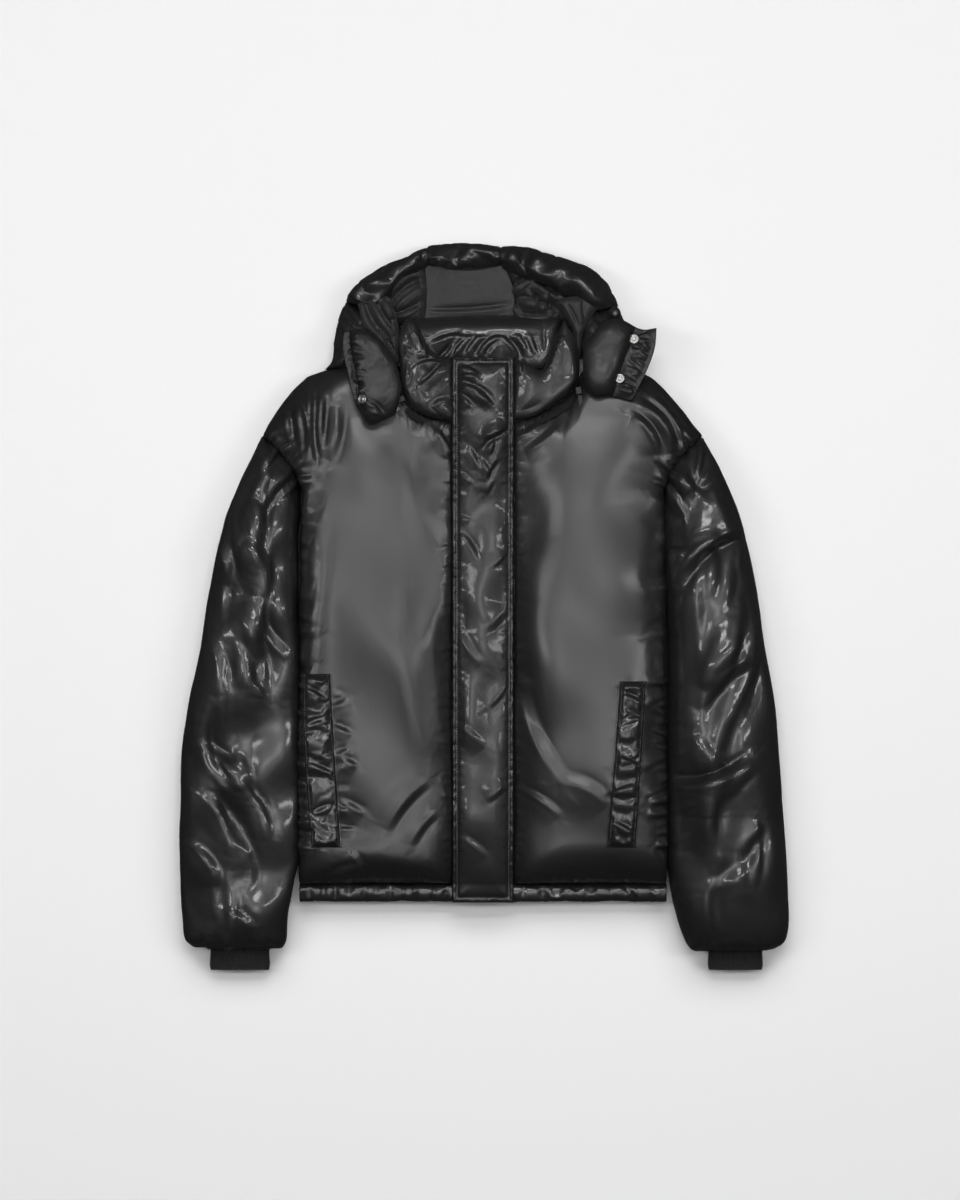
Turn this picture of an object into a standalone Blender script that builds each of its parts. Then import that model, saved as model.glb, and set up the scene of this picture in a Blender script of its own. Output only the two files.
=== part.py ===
"""A hooded puffer jacket laid flat on its back, front closed.

The row frame: +X is the wearer's left, +Y runs from the hem to the hood, +Z is up, and the surface that
the jacket lies on is Z = 0. All sizes are in metres. "right" and "left" are the wearer's.
"""

import math

import bmesh
import bpy
import numpy as np

# Clearances between pieces
SEAM_GAP = 0.0006
LAYER_GAP = 0.001
PLACKET_GAP = 0.0016
BODY_GAP = 0.0024

# Body
HEM_SEAM_Y = -0.352
HEM_Y = -0.3755
FRONT_EDGE_X = 0.017
PLACKET_HALF_WIDTH = 0.0395
PLACKET_TOP_Y = 0.3215
SEAM_THICKNESS = 0.003
BODY_LOFT = 0.090
SHOULDER_LOFT = 0.076
BACK_LOFT = 0.036
SIDE_SEAM_Z = 0.031
NECK_SEAM_Z = 0.058
FRONT_HEM_SEAM_Z = 0.033

# Points (|x|, y) of the front's upper edge: the neck seam out to the neck point, then the shoulder line.
FRONT_TOP = {
    "right": (
        (0.017, 0.236), (0.042, 0.240), (0.070, 0.246), (0.088, 0.255), (0.099, 0.266), (0.106, 0.281),
        (0.112, 0.300), (0.122, 0.319), (0.150, 0.322), (0.192, 0.3115), (0.225, 0.300), (0.242, 0.2845),
        (0.255, 0.269), (0.266, 0.2535), (0.276, 0.238), (0.2835, 0.2235),
    ),
    "left": (
        (0.017, 0.236), (0.042, 0.240), (0.066, 0.247), (0.087, 0.258), (0.105, 0.270), (0.119, 0.283),
        (0.126, 0.300), (0.134, 0.317), (0.160, 0.319), (0.195, 0.309), (0.218, 0.2975), (0.232, 0.2845),
        (0.246, 0.269), (0.259, 0.2535), (0.270, 0.238), (0.2825, 0.2235),
    ),
}
# Points (|x|, y) of the back neck seam, from the centre back to the neck point.
BACK_NECK = ((0.0, 0.296), (0.050, 0.298), (0.090, 0.306))
# Points (y, |x|) of the side seam and then the front of the armhole, up to the shoulder point.
BODY_SIDE = {
    "right": (
        (-0.352, 0.2365), (-0.200, 0.2380), (0.0, 0.2370), (0.110, 0.2330), (0.150, 0.2312), (0.175, 0.2400), (0.200, 0.2590), (0.2235, 0.2835),
    ),
    "left": (
        (-0.352, 0.2360), (-0.200, 0.2375), (0.0, 0.2365), (0.110, 0.2335), (0.150, 0.2316), (0.175, 0.2400), (0.200, 0.2585), (0.2235, 0.2825),
    ),
}
SIGN = {"right": -1.0, "left": 1.0}
BODY_ROWS = 16
SEAT_EDGE_X = 0.0415

# Sleeves: one row for each section, from the armhole to the cuff end.
# Columns: outer fold |x|, outer fold y, inner fold |x|, inner fold y, height, hollow half width, hollow height
SLEEVE_SECTIONS = {
    "right": (
        (0.2860, 0.2205, 0.2385, 0.1540, 0.060, 0.014, 0.002),
        (0.3050, 0.1820, 0.2385, 0.1080, 0.074, 0.022, 0.002),
        (0.3240, 0.1300, 0.2395, 0.0600, 0.084, 0.030, 0.002),
        (0.3380, 0.0840, 0.2405, 0.0150, 0.087, 0.034, 0.002),
        (0.3510, 0.0300, 0.2410, -0.0300, 0.087, 0.036, 0.002),
        (0.3580, -0.0250, 0.2415, -0.0800, 0.086, 0.038, 0.002),
        (0.3690, -0.0850, 0.2418, -0.1300, 0.085, 0.042, 0.002),
        (0.3775, -0.1400, 0.2420, -0.1800, 0.084, 0.044, 0.002),
        (0.3835, -0.2000, 0.2425, -0.2350, 0.083, 0.046, 0.002),
        (0.3875, -0.2700, 0.2430, -0.2900, 0.082, 0.047, 0.002),
        (0.3880, -0.3400, 0.2440, -0.3500, 0.080, 0.046, 0.003),
        (0.3855, -0.3900, 0.2495, -0.3920, 0.076, 0.045, 0.0120),
        (0.3830, -0.4200, 0.2525, -0.4210, 0.066, 0.0455, 0.0155),
        (0.3760, -0.4320, 0.2580, -0.4330, 0.046, 0.0455, 0.0160),
    ),
    "left": (
        (0.2850, 0.2205, 0.2385, 0.1540, 0.060, 0.014, 0.002),
        (0.3020, 0.1820, 0.2385, 0.1080, 0.074, 0.022, 0.002),
        (0.3230, 0.1300, 0.2395, 0.0600, 0.084, 0.030, 0.002),
        (0.3370, 0.0840, 0.2400, 0.0150, 0.082, 0.034, 0.002),
        (0.3490, 0.0300, 0.2405, -0.0300, 0.086, 0.036, 0.002),
        (0.3590, -0.0300, 0.2410, -0.0800, 0.086, 0.038, 0.002),
        (0.3690, -0.0840, 0.2412, -0.1300, 0.085, 0.042, 0.002),
        (0.3770, -0.1400, 0.2415, -0.1800, 0.084, 0.044, 0.002),
        (0.3825, -0.2000, 0.2420, -0.2350, 0.083, 0.046, 0.002),
        (0.3885, -0.2700, 0.2410, -0.2900, 0.082, 0.047, 0.002),
        (0.3920, -0.3450, 0.2400, -0.3500, 0.080, 0.046, 0.003),
        (0.3925, -0.3950, 0.2495, -0.3950, 0.076, 0.045, 0.0120),
        (0.3880, -0.4220, 0.2600, -0.4240, 0.066, 0.0455, 0.0155),
        (0.3760, -0.4350, 0.2690, -0.4370, 0.046, 0.0455, 0.0160),
    ),
}
# The largest folds across the sleeves. Columns: place along (0 armhole, 1 cuff), slant, half width, depth
SLEEVE_FOLDS = {
    "right": ((0.20, 0.10, 0.040, 0.006), (0.44, 0.12, 0.045, 0.007), (0.72, 0.10, 0.045, 0.006)),
    "left": ((0.27, -0.14, 0.030, 0.011), (0.47, -0.13, 0.040, 0.008), (0.62, -0.10, 0.040, 0.009), (0.82, -0.08, 0.040, 0.005)),
}
SLEEVE_AROUND = 14
SLEEVE_ALONG = 17

# Rib cuffs. Columns: centre |x|, half width at the sleeve, half width at the hand end
CUFFS = {"right": (0.3135, 0.0380, 0.0370), "left": (0.3255, 0.0355, 0.0335)}
CUFF_START_Y = -0.4180
CUFF_END_Y = -0.4635
CUFF_THICKNESS = 0.0120
CUFF_WALL = 0.0028
CUFF_MID_Z = 0.0225

# Pocket welts. Columns: |x| of the inner edge and of the outer edge, y
WELTS = {
    "right": ((0.1935, 0.2300, -0.0830), (0.1865, 0.2265, -0.1900), (0.1800, 0.2185, -0.3000)),
    "left": ((0.1735, 0.2070, -0.0920), (0.1670, 0.2010, -0.1800), (0.1570, 0.1930, -0.2980)),
}
WELT_LOFT = 0.009

# Stand collar outlines, each as (lower edge, outer edge, upper edge), points (|x|, y)
COLLAR_HALVES = {
    "right": (
        ((0.017, 0.2385), (0.042, 0.2430), (0.070, 0.2495), (0.086, 0.2585), (0.0950, 0.2690), (0.1010, 0.2830)),
        ((0.1010, 0.2830), (0.1050, 0.3100), (0.1060, 0.3500), (0.0980, 0.3740)),
        ((0.017, 0.3170), (0.042, 0.3200), (0.062, 0.3290), (0.073, 0.3440), (0.083, 0.3640), (0.0980, 0.3740)),
    ),
    "left": (
        ((0.017, 0.2385), (0.042, 0.2430), (0.065, 0.2505), (0.085, 0.2615), (0.1010, 0.2735), (0.1140, 0.2865)),
        ((0.1140, 0.2865), (0.1210, 0.3050), (0.1190, 0.3400), (0.1030, 0.3700)),
        ((0.017, 0.3180), (0.040, 0.3210), (0.060, 0.3130), (0.076, 0.3120), (0.088, 0.3450), (0.1030, 0.3700)),
    ),
}
COLLAR_BASE_Z = 0.0590
COLLAR_LOFT = 0.0205
COLLAR_BACK_X = (-0.0930, 0.0990)
COLLAR_BACK_Y = (0.3260, 0.3790)
COLLAR_BACK_Z = (0.0290, 0.0490)

# Hood rim: three padded rolls round the face opening. Columns: outer x, outer y, inner x, inner y, height
RIM_ROLLS = {
    "hood_rim_right": (
        (-0.0735, 0.4640, -0.0725, 0.4440, 0.050),
        (-0.1060, 0.4530, -0.0960, 0.4320, 0.058),
        (-0.1370, 0.4380, -0.1130, 0.4170, 0.064),
        (-0.1560, 0.4220, -0.1230, 0.4030, 0.068),
        (-0.1690, 0.4070, -0.1290, 0.3930, 0.066),
        (-0.1740, 0.3960, -0.1310, 0.3860, 0.050),
    ),
    "hood_rim_centre": (
        (-0.0700, 0.4655, -0.0695, 0.4440, 0.050),
        (-0.0400, 0.4665, -0.0400, 0.4425, 0.054),
        (-0.0050, 0.4665, -0.0050, 0.4425, 0.054),
        (0.0215, 0.4655, 0.0205, 0.4440, 0.050),
    ),
    "hood_rim_left": (
        (0.0250, 0.4650, 0.0240, 0.4440, 0.050),
        (0.0580, 0.4610, 0.0500, 0.4340, 0.058),
        (0.0900, 0.4530, 0.0780, 0.4240, 0.064),
        (0.1340, 0.4380, 0.1050, 0.4080, 0.068),
        (0.1540, 0.4220, 0.1180, 0.3980, 0.070),
        (0.1640, 0.4070, 0.1260, 0.3900, 0.068),
        (0.1720, 0.3900, 0.1310, 0.3820, 0.052),
    ),
}
# The gathered end of the hood's elastic channel. Columns: outer x, outer y, inner x, inner y, height
HOOD_TAB_ROWS = (
    (0.1660, 0.3855, 0.1590, 0.3780, 0.010),
    (0.1710, 0.3830, 0.1620, 0.3740, 0.013),
    (0.1740, 0.3790, 0.1660, 0.3700, 0.013),
    (0.1750, 0.3740, 0.1690, 0.3690, 0.009),
)
HOOD_TAB_REST = 0.0725
# Hood outlines as (lower, upper, first side, second side), each a run of points (x, y)
HOOD_SHELL = (
    ((-0.1180, 0.3300), (-0.0600, 0.3060), (0.0, 0.3020), (0.0600, 0.3060), (0.1200, 0.3300)),
    ((-0.1180, 0.4000), (-0.1000, 0.4210), (-0.0720, 0.4410), (0.0, 0.4410), (0.0240, 0.4410), (0.0700, 0.4240), (0.1000, 0.4050), (0.1200, 0.3910)),
    ((-0.1180, 0.3300), (-0.1200, 0.3700), (-0.1180, 0.4000)),
    ((0.1200, 0.3300), (0.1220, 0.3600), (0.1200, 0.3910)),
)
HOOD_SHELL_LOFT = 0.020
HOOD_SIDES = {
    "hood_side_right": (
        ((-0.2040, 0.3270), (-0.1600, 0.3260), (-0.1090, 0.3300)),
        ((-0.1760, 0.3930), (-0.1500, 0.3860), (-0.1330, 0.3820)),
        ((-0.2040, 0.3270), (-0.1935, 0.3450), (-0.1830, 0.3740), (-0.1760, 0.3930)),
        ((-0.1090, 0.3300), (-0.1090, 0.3550), (-0.1330, 0.3820)),
    ),
    "hood_side_left": (
        ((0.1270, 0.3240), (0.1600, 0.3240), (0.1980, 0.3240)),
        ((0.1330, 0.3790), (0.1550, 0.3830), (0.1740, 0.3870)),
        ((0.1270, 0.3240), (0.1235, 0.3500), (0.1330, 0.3790)),
        ((0.1980, 0.3240), (0.1900, 0.3480), (0.1830, 0.3660), (0.1740, 0.3870)),
    ),
}
HOOD_SIDE_TOP = 0.066
HOOD_SIDE_REST = 0.040
FLAPS = {
    "hood_flap_right": (
        ((-0.1610, 0.2600), (-0.1445, 0.2360), (-0.1280, 0.2400), (-0.1110, 0.2480)),
        ((-0.1750, 0.3520), (-0.1600, 0.3540), (-0.1420, 0.3500)),
        ((-0.1610, 0.2600), (-0.1690, 0.2960), (-0.1760, 0.3280), (-0.1750, 0.3520)),
        ((-0.1110, 0.2480), (-0.1055, 0.2780), (-0.1130, 0.3120), (-0.1255, 0.3350), (-0.1420, 0.3500)),
    ),
    "hood_flap_left": (
        ((0.1290, 0.2790), (0.1430, 0.2690), (0.1650, 0.2700), (0.1870, 0.2660)),
        ((0.1510, 0.3660), (0.1750, 0.3660), (0.2000, 0.3545), (0.2190, 0.3570)),
        ((0.1290, 0.2790), (0.1275, 0.3050), (0.1310, 0.3350), (0.1510, 0.3660)),
        ((0.1870, 0.2660), (0.2050, 0.3000), (0.2160, 0.3300), (0.2190, 0.3570)),
    ),
}
FLAP_REST_Z = 0.0815
FLAP_LOFT = 0.026
FLAP_PADDED_SHARE = {"hood_flap_right": 0.80, "hood_flap_left": 0.56}
FLAP_STRIP_THICKNESS = 0.009
# Hood lining panels as (lower, upper, first side, second side)
LININGS = {
    "hood_lining_right": (
        ((-0.1030, 0.3760), (-0.0900, 0.3800), (-0.0770, 0.3850)),
        ((-0.1240, 0.3880), (-0.1060, 0.4130), (-0.0770, 0.4370)),
        ((-0.1030, 0.3760), (-0.1130, 0.3790), (-0.1240, 0.3880)),
        ((-0.0770, 0.3850), (-0.0740, 0.4100), (-0.0770, 0.4370)),
    ),
    "hood_lining_centre": (
        ((-0.0755, 0.3820), (-0.0200, 0.3820), (0.0390, 0.3820)),
        ((-0.0755, 0.4385), (-0.0200, 0.4420), (0.0260, 0.4420)),
        ((-0.0755, 0.3820), (-0.0725, 0.4100), (-0.0755, 0.4385)),
        ((0.0390, 0.3820), (0.0400, 0.4100), (0.0260, 0.4420)),
    ),
    "hood_lining_left": (
        ((0.0410, 0.3820), (0.0800, 0.3830), (0.1100, 0.3800)),
        ((0.0280, 0.4400), (0.0700, 0.4220), (0.1180, 0.3900)),
        ((0.0410, 0.3820), (0.0420, 0.4100), (0.0280, 0.4400)),
        ((0.1100, 0.3800), (0.1150, 0.3860), (0.1180, 0.3900)),
    ),
}
LINING_LOW_Z = 0.0230
LINING_HIGH_Z = 0.0420
LINING_THICKNESS = 0.0016

# Snaps on the flaps' strips. Columns: x, y, flap
SNAPS = {
    "snap_left_upper": (0.1910, 0.3430, "hood_flap_left"),
    "snap_left_lower": (0.1730, 0.2930, "hood_flap_left"),
    "snap_right": (-0.1520, 0.2660, "hood_flap_right"),
}
SNAP_SEAT_REACH = 0.009
SNAP_RADIUS = 0.0058
SNAP_TUBE = 0.0013
SNAP_AROUND = 10

# Hood zip: short visible tapes beside the neck seam, with a slider and a pull tab at each end
ZIP_TAPES = {
    "hood_zip_right": ((-0.0760, 0.2400), (-0.0890, 0.2470), (-0.0975, 0.2560)),
    "hood_zip_left": ((0.0720, 0.2390), (0.0930, 0.2500), (0.1090, 0.2610)),
}
ZIP_TAPE_HALF = 0.003
# Columns: x, y, z of the slider's middle, direction of the pull tab from the hinge, in degrees from +X
SLIDERS = {
    "left": (0.1215, 0.2790, 0.0768, -80.0),
    "right": (-0.1040, 0.2680, 0.0768, 200.0),
}
SLIDER_SIZE = (0.0100, 0.0080, 0.0034)
PULL_WIDTH = 0.0052
PULL_LENGTH = 0.0165
PULL_THICKNESS = 0.0013
PULL_EYE_RADIUS = 0.0011
HINGE_AHEAD = 0.0066
HINGE_RISE = 0.0008

BLACK_NYLON = ("black_nylon", (0.016, 0.016, 0.017), 0.30, 0.0)
BLACK_LINING = ("black_lining", (0.022, 0.022, 0.023), 0.62, 0.0)
BLACK_RIB = ("black_rib", (0.010, 0.010, 0.011), 0.90, 0.0)
BLACK_TAPE = ("black_tape", (0.012, 0.012, 0.012), 0.70, 0.0)
BLACK_METAL = ("black_metal", (0.020, 0.020, 0.022), 0.30, 0.8)
SILVER_METAL = ("silver_metal", (0.600, 0.600, 0.590), 0.30, 1.0)


def finish(name, colour, roughness, metallic):
    """The named material, made the first time it is asked for."""
    material = bpy.data.materials.get(name)
    if material is None:
        material = bpy.data.materials.new(name)
        material.use_nodes = True
        shader = material.node_tree.nodes["Principled BSDF"]
        shader.inputs["Base Color"].default_value = (*colour, 1.0)
        shader.inputs["Roughness"].default_value = roughness
        shader.inputs["Metallic"].default_value = metallic
    return material


def through(points, places):
    """Points on a smooth run through the given ones, at shares of its length, or at so many even ones."""
    points = np.array(points, float)
    ahead = 2 * points[-1] - points[-2]
    behind = 2 * points[0] - points[1]
    padded = np.vstack([behind, points, ahead])
    share = np.linspace(0, 1, 9)[:-1, None]
    fine = []
    for a, b, c, d in zip(padded, padded[1:], padded[2:], padded[3:]):
        fine.append(
            b + 0.5 * share * (c - a + share * (2 * a - 5 * b + 4 * c - d + share * (3 * (b - c) + d - a)))
        )
    fine = np.vstack([*fine, points[-1:]])
    along = np.concatenate([[0], np.cumsum(np.linalg.norm(np.diff(fine, axis=0), axis=1))])
    shares = np.linspace(0, 1, places) if isinstance(places, int) else np.array(places)
    at = shares * along[-1]
    return np.stack([np.interp(at, along, fine[:, k]) for k in range(fine.shape[1])], axis=1)


def seam_spaced(count):
    """Shares from 0 to 1 that lie closer together towards both ends, where padding curves down to a seam."""
    even = np.linspace(0, 1, count)
    return 0.35 * even + 0.65 * (0.5 - 0.5 * np.cos(math.pi * even))


def patch(lower, upper, first, second, across, along):
    """A grid of plan points spanned between four edges that share their corners, at shares of their lengths."""
    low, high = through(lower, across), through(upper, across)
    start, end = through(first, along), through(second, along)
    return spanned(low, high, start, end)


def spanned(low, high, start, end):
    """A grid of plan points blended from four runs of edge points."""
    u = measured(low)[None, :, None]
    v = measured(start)[:, None, None]
    ruled = (1 - v) * low[None] + v * high[None] + (1 - u) * start[:, None] + u * end[:, None]
    corners = (
        (1 - u) * (1 - v) * low[0] + u * (1 - v) * low[-1] + (1 - u) * v * high[0] + u * v * high[-1]
    )
    return ruled - corners


def measured(run):
    """How far along a run each of its points is, from 0 to 1."""
    along = np.concatenate([[0], np.cumsum(np.linalg.norm(np.diff(run, axis=0), axis=1))])
    return along / along[-1]


def ease(distance, reach):
    """1 on a seam, falling on a quarter round to 0 at reach away from it."""
    share = np.clip(distance / reach, 0, 1)
    return 1 - np.sqrt(np.clip(1 - (1 - share) ** 2, 0, 1))


def joined(*drops):
    """Several drops towards seams as one, rounded where two of them meet."""
    return sum(np.clip(drop, 0, None) ** 3 for drop in drops) ** (1 / 3)


def edge_share(grid):
    """For each point of a grid, how far across and along it is, as shares from 0 to 1."""
    along, across = grid.shape[:2]
    return np.meshgrid(np.linspace(0, 1, across), np.linspace(0, 1, along))


def body_side(side, y):
    """|x| of the body's side seam and armhole at y."""
    ys, xs = zip(*BODY_SIDE[side])
    return np.interp(y, [*ys, ys[-1] + 0.02], [*xs, xs[-1] + 0.05])


def front_edge(side, x):
    """y of the front's neck seam and shoulder line at |x|."""
    xs, ys = zip(*FRONT_TOP[side])
    return np.interp(np.abs(x), xs, ys)


def back_edge(side, x):
    """y of the back's neck seam and shoulder line at |x|."""
    shoulder = [p for p in FRONT_TOP[side] if p[0] > 0.12]
    xs, ys = zip(*BACK_NECK, *shoulder)
    return np.interp(np.abs(x), xs, ys)


def by_side(x, function, argument):
    """A function of (side, argument), taken on the side that each x is on."""
    return np.where(x < 0, function("right", argument), function("left", argument))


def placket_rest(y):
    """Height of the seat that the placket lies on, which rises on a smooth curve from the hem to the collar."""
    low = np.clip((y - HEM_SEAM_Y) / 0.10, 0, 1)
    high = np.clip((y - 0.12) / 0.16, 0, 1)
    return 0.0390 + 0.0190 * (1 - (1 - low) ** 2) + 0.0160 * high**2 * (3 - 2 * high)


def back_eases(x, y):
    """The back panel's nearness to its side, hem and upper seams."""
    side = by_side(x, body_side, y) - np.abs(x)
    top = by_side(x, back_edge, x) - y
    return ease(side, 0.045), ease(y - HEM_SEAM_Y, 0.045), ease(top, 0.045)


def back_top(x, y):
    """Height of the back panel's inner face."""
    side, hem, top = back_eases(x, y)
    return BACK_LOFT - joined(0.0112 * side, 0.0230 * hem, 0.0118 * top)


def back_underside(x, y):
    """Height of the back panel's outer face, flat where it rests."""
    side = by_side(x, body_side, y) - np.abs(x)
    top = by_side(x, back_edge, x) - y
    rise = joined(0.0225 * ease(side, 0.030), 0.0095 * ease(y - HEM_SEAM_Y, 0.020), 0.0220 * ease(top, 0.028))
    return np.minimum(rise, back_top(x, y) - 0.0025)


def front_eases(side, x, y):
    """The front's nearness to its placket, side, hem and upper seams."""
    centre = ease(np.abs(x) - PLACKET_HALF_WIDTH - 0.0025, 0.055)
    flank = ease(body_side(side, y) - np.abs(x), 0.062)
    return centre, flank, ease(y - HEM_SEAM_Y, 0.055), ease(front_edge(side, x) - y, 0.055)


def front_top(side, x, y):
    """Height of a front's outer face."""
    full = np.interp(y, (0.10, 0.25), (BODY_LOFT, SHOULDER_LOFT))
    upper_seam = np.interp(np.abs(x), (0.100, 0.135, 0.155), (NECK_SEAM_Z, 0.038, SIDE_SEAM_Z))
    centre, flank, hem, top = front_eases(side, x, y)
    centre_drop = full - placket_rest(np.minimum(y, 0.18)) + PLACKET_GAP
    puffed = full - joined(
        centre_drop * centre,
        (full - SIDE_SEAM_Z) * flank,
        (full - FRONT_HEM_SEAM_Z) * hem,
        (full - upper_seam) * top,
    )
    seat = placket_rest(y) - PLACKET_GAP
    under_placket = np.abs(x) < PLACKET_HALF_WIDTH + 0.0025
    return np.maximum(np.where(under_placket, np.minimum(puffed, seat), puffed), back_top(x, y) + 0.004)


def front_underside(side, x, y):
    """Height of a front's inner face: it lies on the back, and thins to the seams."""
    near = np.clip(joined(*front_eases(side, x, y)), 0, 1)
    upper = front_top(side, x, y)
    return near * (upper - SEAM_THICKNESS) + (1 - near) * (back_top(x, y) + BODY_GAP)


def add_object(name, points, faces, look):
    """A named object from points and faces, its faces turned outwards and shaded smooth."""
    shape = bmesh.new()
    corners = [shape.verts.new(point) for point in points]
    for face in faces:
        shape.faces.new([corners[k] for k in face])
    bmesh.ops.recalc_face_normals(shape, faces=shape.faces)
    mesh = bpy.data.meshes.new(name)
    shape.to_mesh(mesh)
    shape.free()
    mesh.shade_smooth()
    mesh.set_sharp_from_angle(angle=math.radians(50))
    mesh.materials.append(finish(*look))
    made = bpy.data.objects.new(name, mesh)
    bpy.context.scene.collection.objects.link(made)
    return made


def padded_panel(name, plan, upper, lower, look):
    """A padded cloth panel: two faces over one plan grid, joined round the seam edge."""
    along, across = plan.shape[:2]
    flat = plan.reshape(-1, 2)
    points = np.vstack([np.column_stack([flat, upper.ravel()]), np.column_stack([flat, lower.ravel()])])
    count = along * across
    index = np.arange(count).reshape(along, across)
    faces = []
    for i in range(along - 1):
        for j in range(across - 1):
            quad = (index[i, j], index[i, j + 1], index[i + 1, j + 1], index[i + 1, j])
            faces.append(quad)
            faces.append(tuple(count + k for k in reversed(quad)))
    rim = [*index[0, :-1], *index[:-1, -1], *index[-1, :0:-1], *index[:0:-1, 0]]
    for a, b in zip(rim, rim[1:] + rim[:1]):
        faces.append((b, a, count + a, count + b))
    return add_object(name, points, faces, look)


def bridged(start, rings, around):
    """Faces between successive rings of points."""
    faces = []
    for i in range(rings - 1):
        for j in range(around):
            k = (j + 1) % around
            a, b = start + i * around, start + (i + 1) * around
            faces.append((a + j, a + k, b + k, b + j))
    return faces


def padded_roll(name, rings, look):
    """A closed roll through rings of points, with a flat cap at each end."""
    around = len(rings[0])
    faces = bridged(0, len(rings), around)
    faces.append(tuple(range(around)))
    faces.append(tuple((len(rings) - 1) * around + k for k in range(around)))
    return add_object(name, np.vstack(rings), faces, look)


def walled_tube(name, outer, inner, look):
    """A tube with a wall between outer and inner rings, open at both ends."""
    rings, around = len(outer), len(outer[0])
    count = rings * around
    faces = bridged(0, rings, around) + bridged(count, rings, around)
    for ring in (0, rings - 1):
        for j in range(around):
            k = (j + 1) % around
            a = ring * around
            faces.append((a + j, a + k, count + a + k, count + a + j))
    return add_object(name, np.vstack([*outer, *inner]), faces, look)


def resting_ring(first, second, height, around, rest=0.0):
    """A padded section between two plan points, rounded at the sides and above and flat where it rests."""
    first, second = np.array(first), np.array(second)
    angle = np.linspace(0, 2 * math.pi, around, endpoint=False)
    cosine, sine = np.cos(angle), np.sin(angle)
    share = 0.5 + 0.5 * np.sign(cosine) * np.abs(cosine) ** 0.8
    middle = 0.45 * height
    above = middle + (height - middle) * np.abs(sine) ** 0.85
    below = middle * (1 - np.minimum(1.25 * np.abs(sine) ** 0.8, 1))
    plan = first + share[:, None] * (second - first)
    return np.column_stack([plan, rest + np.where(sine > 0, above, below)])


def oval_ring(centre, across, half_width, half_height, around):
    """An oval section round a centre, with its width along a plan direction."""
    angle = np.linspace(0, 2 * math.pi, around, endpoint=False)
    side = np.array([*across, 0.0])
    return (
        np.array(centre)
        + half_width * np.cos(angle)[:, None] * side
        + half_height * np.sin(angle)[:, None] * np.array([0.0, 0.0, 1.0])
    )


def make_body():
    """Back, two fronts, and the hem channel in three pieces."""
    outline = {}
    for side, sign in SIGN.items():
        ys, xs = zip(*BODY_SIDE[side])
        outline[side] = [(sign * x, y) for x, y in zip(xs, ys)]
    shoulder = {s: [(SIGN[s] * x, y) for x, y in FRONT_TOP[s] if x > 0.12] for s in SIGN}
    neck = [(-x, y) for x, y in BACK_NECK[:0:-1]] + list(BACK_NECK)
    plan = patch(
        [outline["right"][0], (0.0, HEM_SEAM_Y), outline["left"][0]],
        shoulder["right"][::-1] + neck + shoulder["left"],
        outline["right"],
        outline["left"],
        seam_spaced(12),
        seam_spaced(BODY_ROWS),
    )
    x, y = plan[..., 0], plan[..., 1]
    padded_panel("back_panel", plan, back_top(x, y), back_underside(x, y), BLACK_NYLON)

    for side, sign in SIGN.items():
        far = outline[side][0][0]
        columns = np.array((FRONT_EDGE_X, SEAT_EDGE_X, 0.050, 0.066, 0.092, 0.125, 0.158, 0.187, 0.211, 0.228, abs(far)))
        low = np.column_stack([sign * columns, np.full_like(columns, HEM_SEAM_Y)])
        neck_x = np.array((FRONT_EDGE_X, SEAT_EDGE_X, 0.052, 0.074, 0.100, 0.127, 0.160, 0.200, 0.232, 0.258))
        neck_x = np.append(neck_x, FRONT_TOP[side][-1][0])
        high = np.column_stack([sign * neck_x, front_edge(side, neck_x)])
        rows = seam_spaced(BODY_ROWS)
        inner = through([low[0], (low[0][0], 0.0), high[0]], rows)
        plan = spanned(low, high, inner, through(outline[side], rows))
        plan[:, 1, 0] = sign * SEAT_EDGE_X
        x, y = plan[..., 0], plan[..., 1]
        padded_panel(
            f"front_{side}", plan, front_top(side, x, y), front_underside(side, x, y), BLACK_NYLON
        )

    middle_y = (HEM_SEAM_Y + HEM_Y) / 2
    half = (HEM_SEAM_Y - HEM_Y) / 2 - SEAM_GAP
    end_x = BODY_SIDE["right"][0][1] - 0.0015

    def channel(name, start_x, stop_x, mid_z, half_height):
        stations = np.linspace(start_x, stop_x, 8)
        rings = [oval_ring((x, middle_y, mid_z), (0, 1), half, half_height, 8) for x in stations]
        for ring in rings:
            ring[:, 2] = np.maximum(ring[:, 2], mid_z - 0.82 * half_height)
        padded_roll(name, rings, BLACK_NYLON)

    channel("hem_back", -end_x, end_x, 0.00738, 0.0090)
    channel("hem_right", -end_x, -FRONT_EDGE_X, 0.0264, 0.0100)
    channel("hem_left", FRONT_EDGE_X, end_x, 0.0264, 0.0100)


def make_placket():
    """The storm flap down the front, and the closed zip strip that it covers."""
    stations = np.array((HEM_Y, HEM_SEAM_Y, -0.32, -0.285, *np.linspace(-0.24, 0.12, 7), 0.16, 0.20, 0.24, 0.28, PLACKET_TOP_Y))
    across = PLACKET_HALF_WIDTH * np.array((-1.0, -0.84, -0.45, 0.45, 0.84, 1.0))
    loft = np.array((0.0, 0.0, 1.0, 1.0, 0.0, 0.0))
    x, y = np.meshgrid(across, stations)
    end = np.clip((PLACKET_TOP_Y - y) / 0.02, 0, 1) * np.clip((y - HEM_Y) / 0.02, 0, 1)
    lower = placket_rest(y)
    upper = lower + 0.0045 + 0.0075 * loft[None, :] * end
    padded_panel("placket", np.dstack([x, y]), upper, lower, BLACK_NYLON)

    stations = np.array((HEM_Y + 0.004, HEM_SEAM_Y, -0.32, -0.28, -0.24, -0.10, 0.12, 0.17, 0.20, 0.235))
    across = (FRONT_EDGE_X - 0.002) * np.array((-1.0, -0.25, 0.25, 1.0))
    x, y = np.meshgrid(across, stations)
    upper = placket_rest(y) - 0.0065 + np.where(np.abs(x) < 0.01, 0.0015, 0.0)
    padded_panel("front_zip", np.dstack([x, y]), upper, upper - 0.002, BLACK_TAPE)


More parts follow.
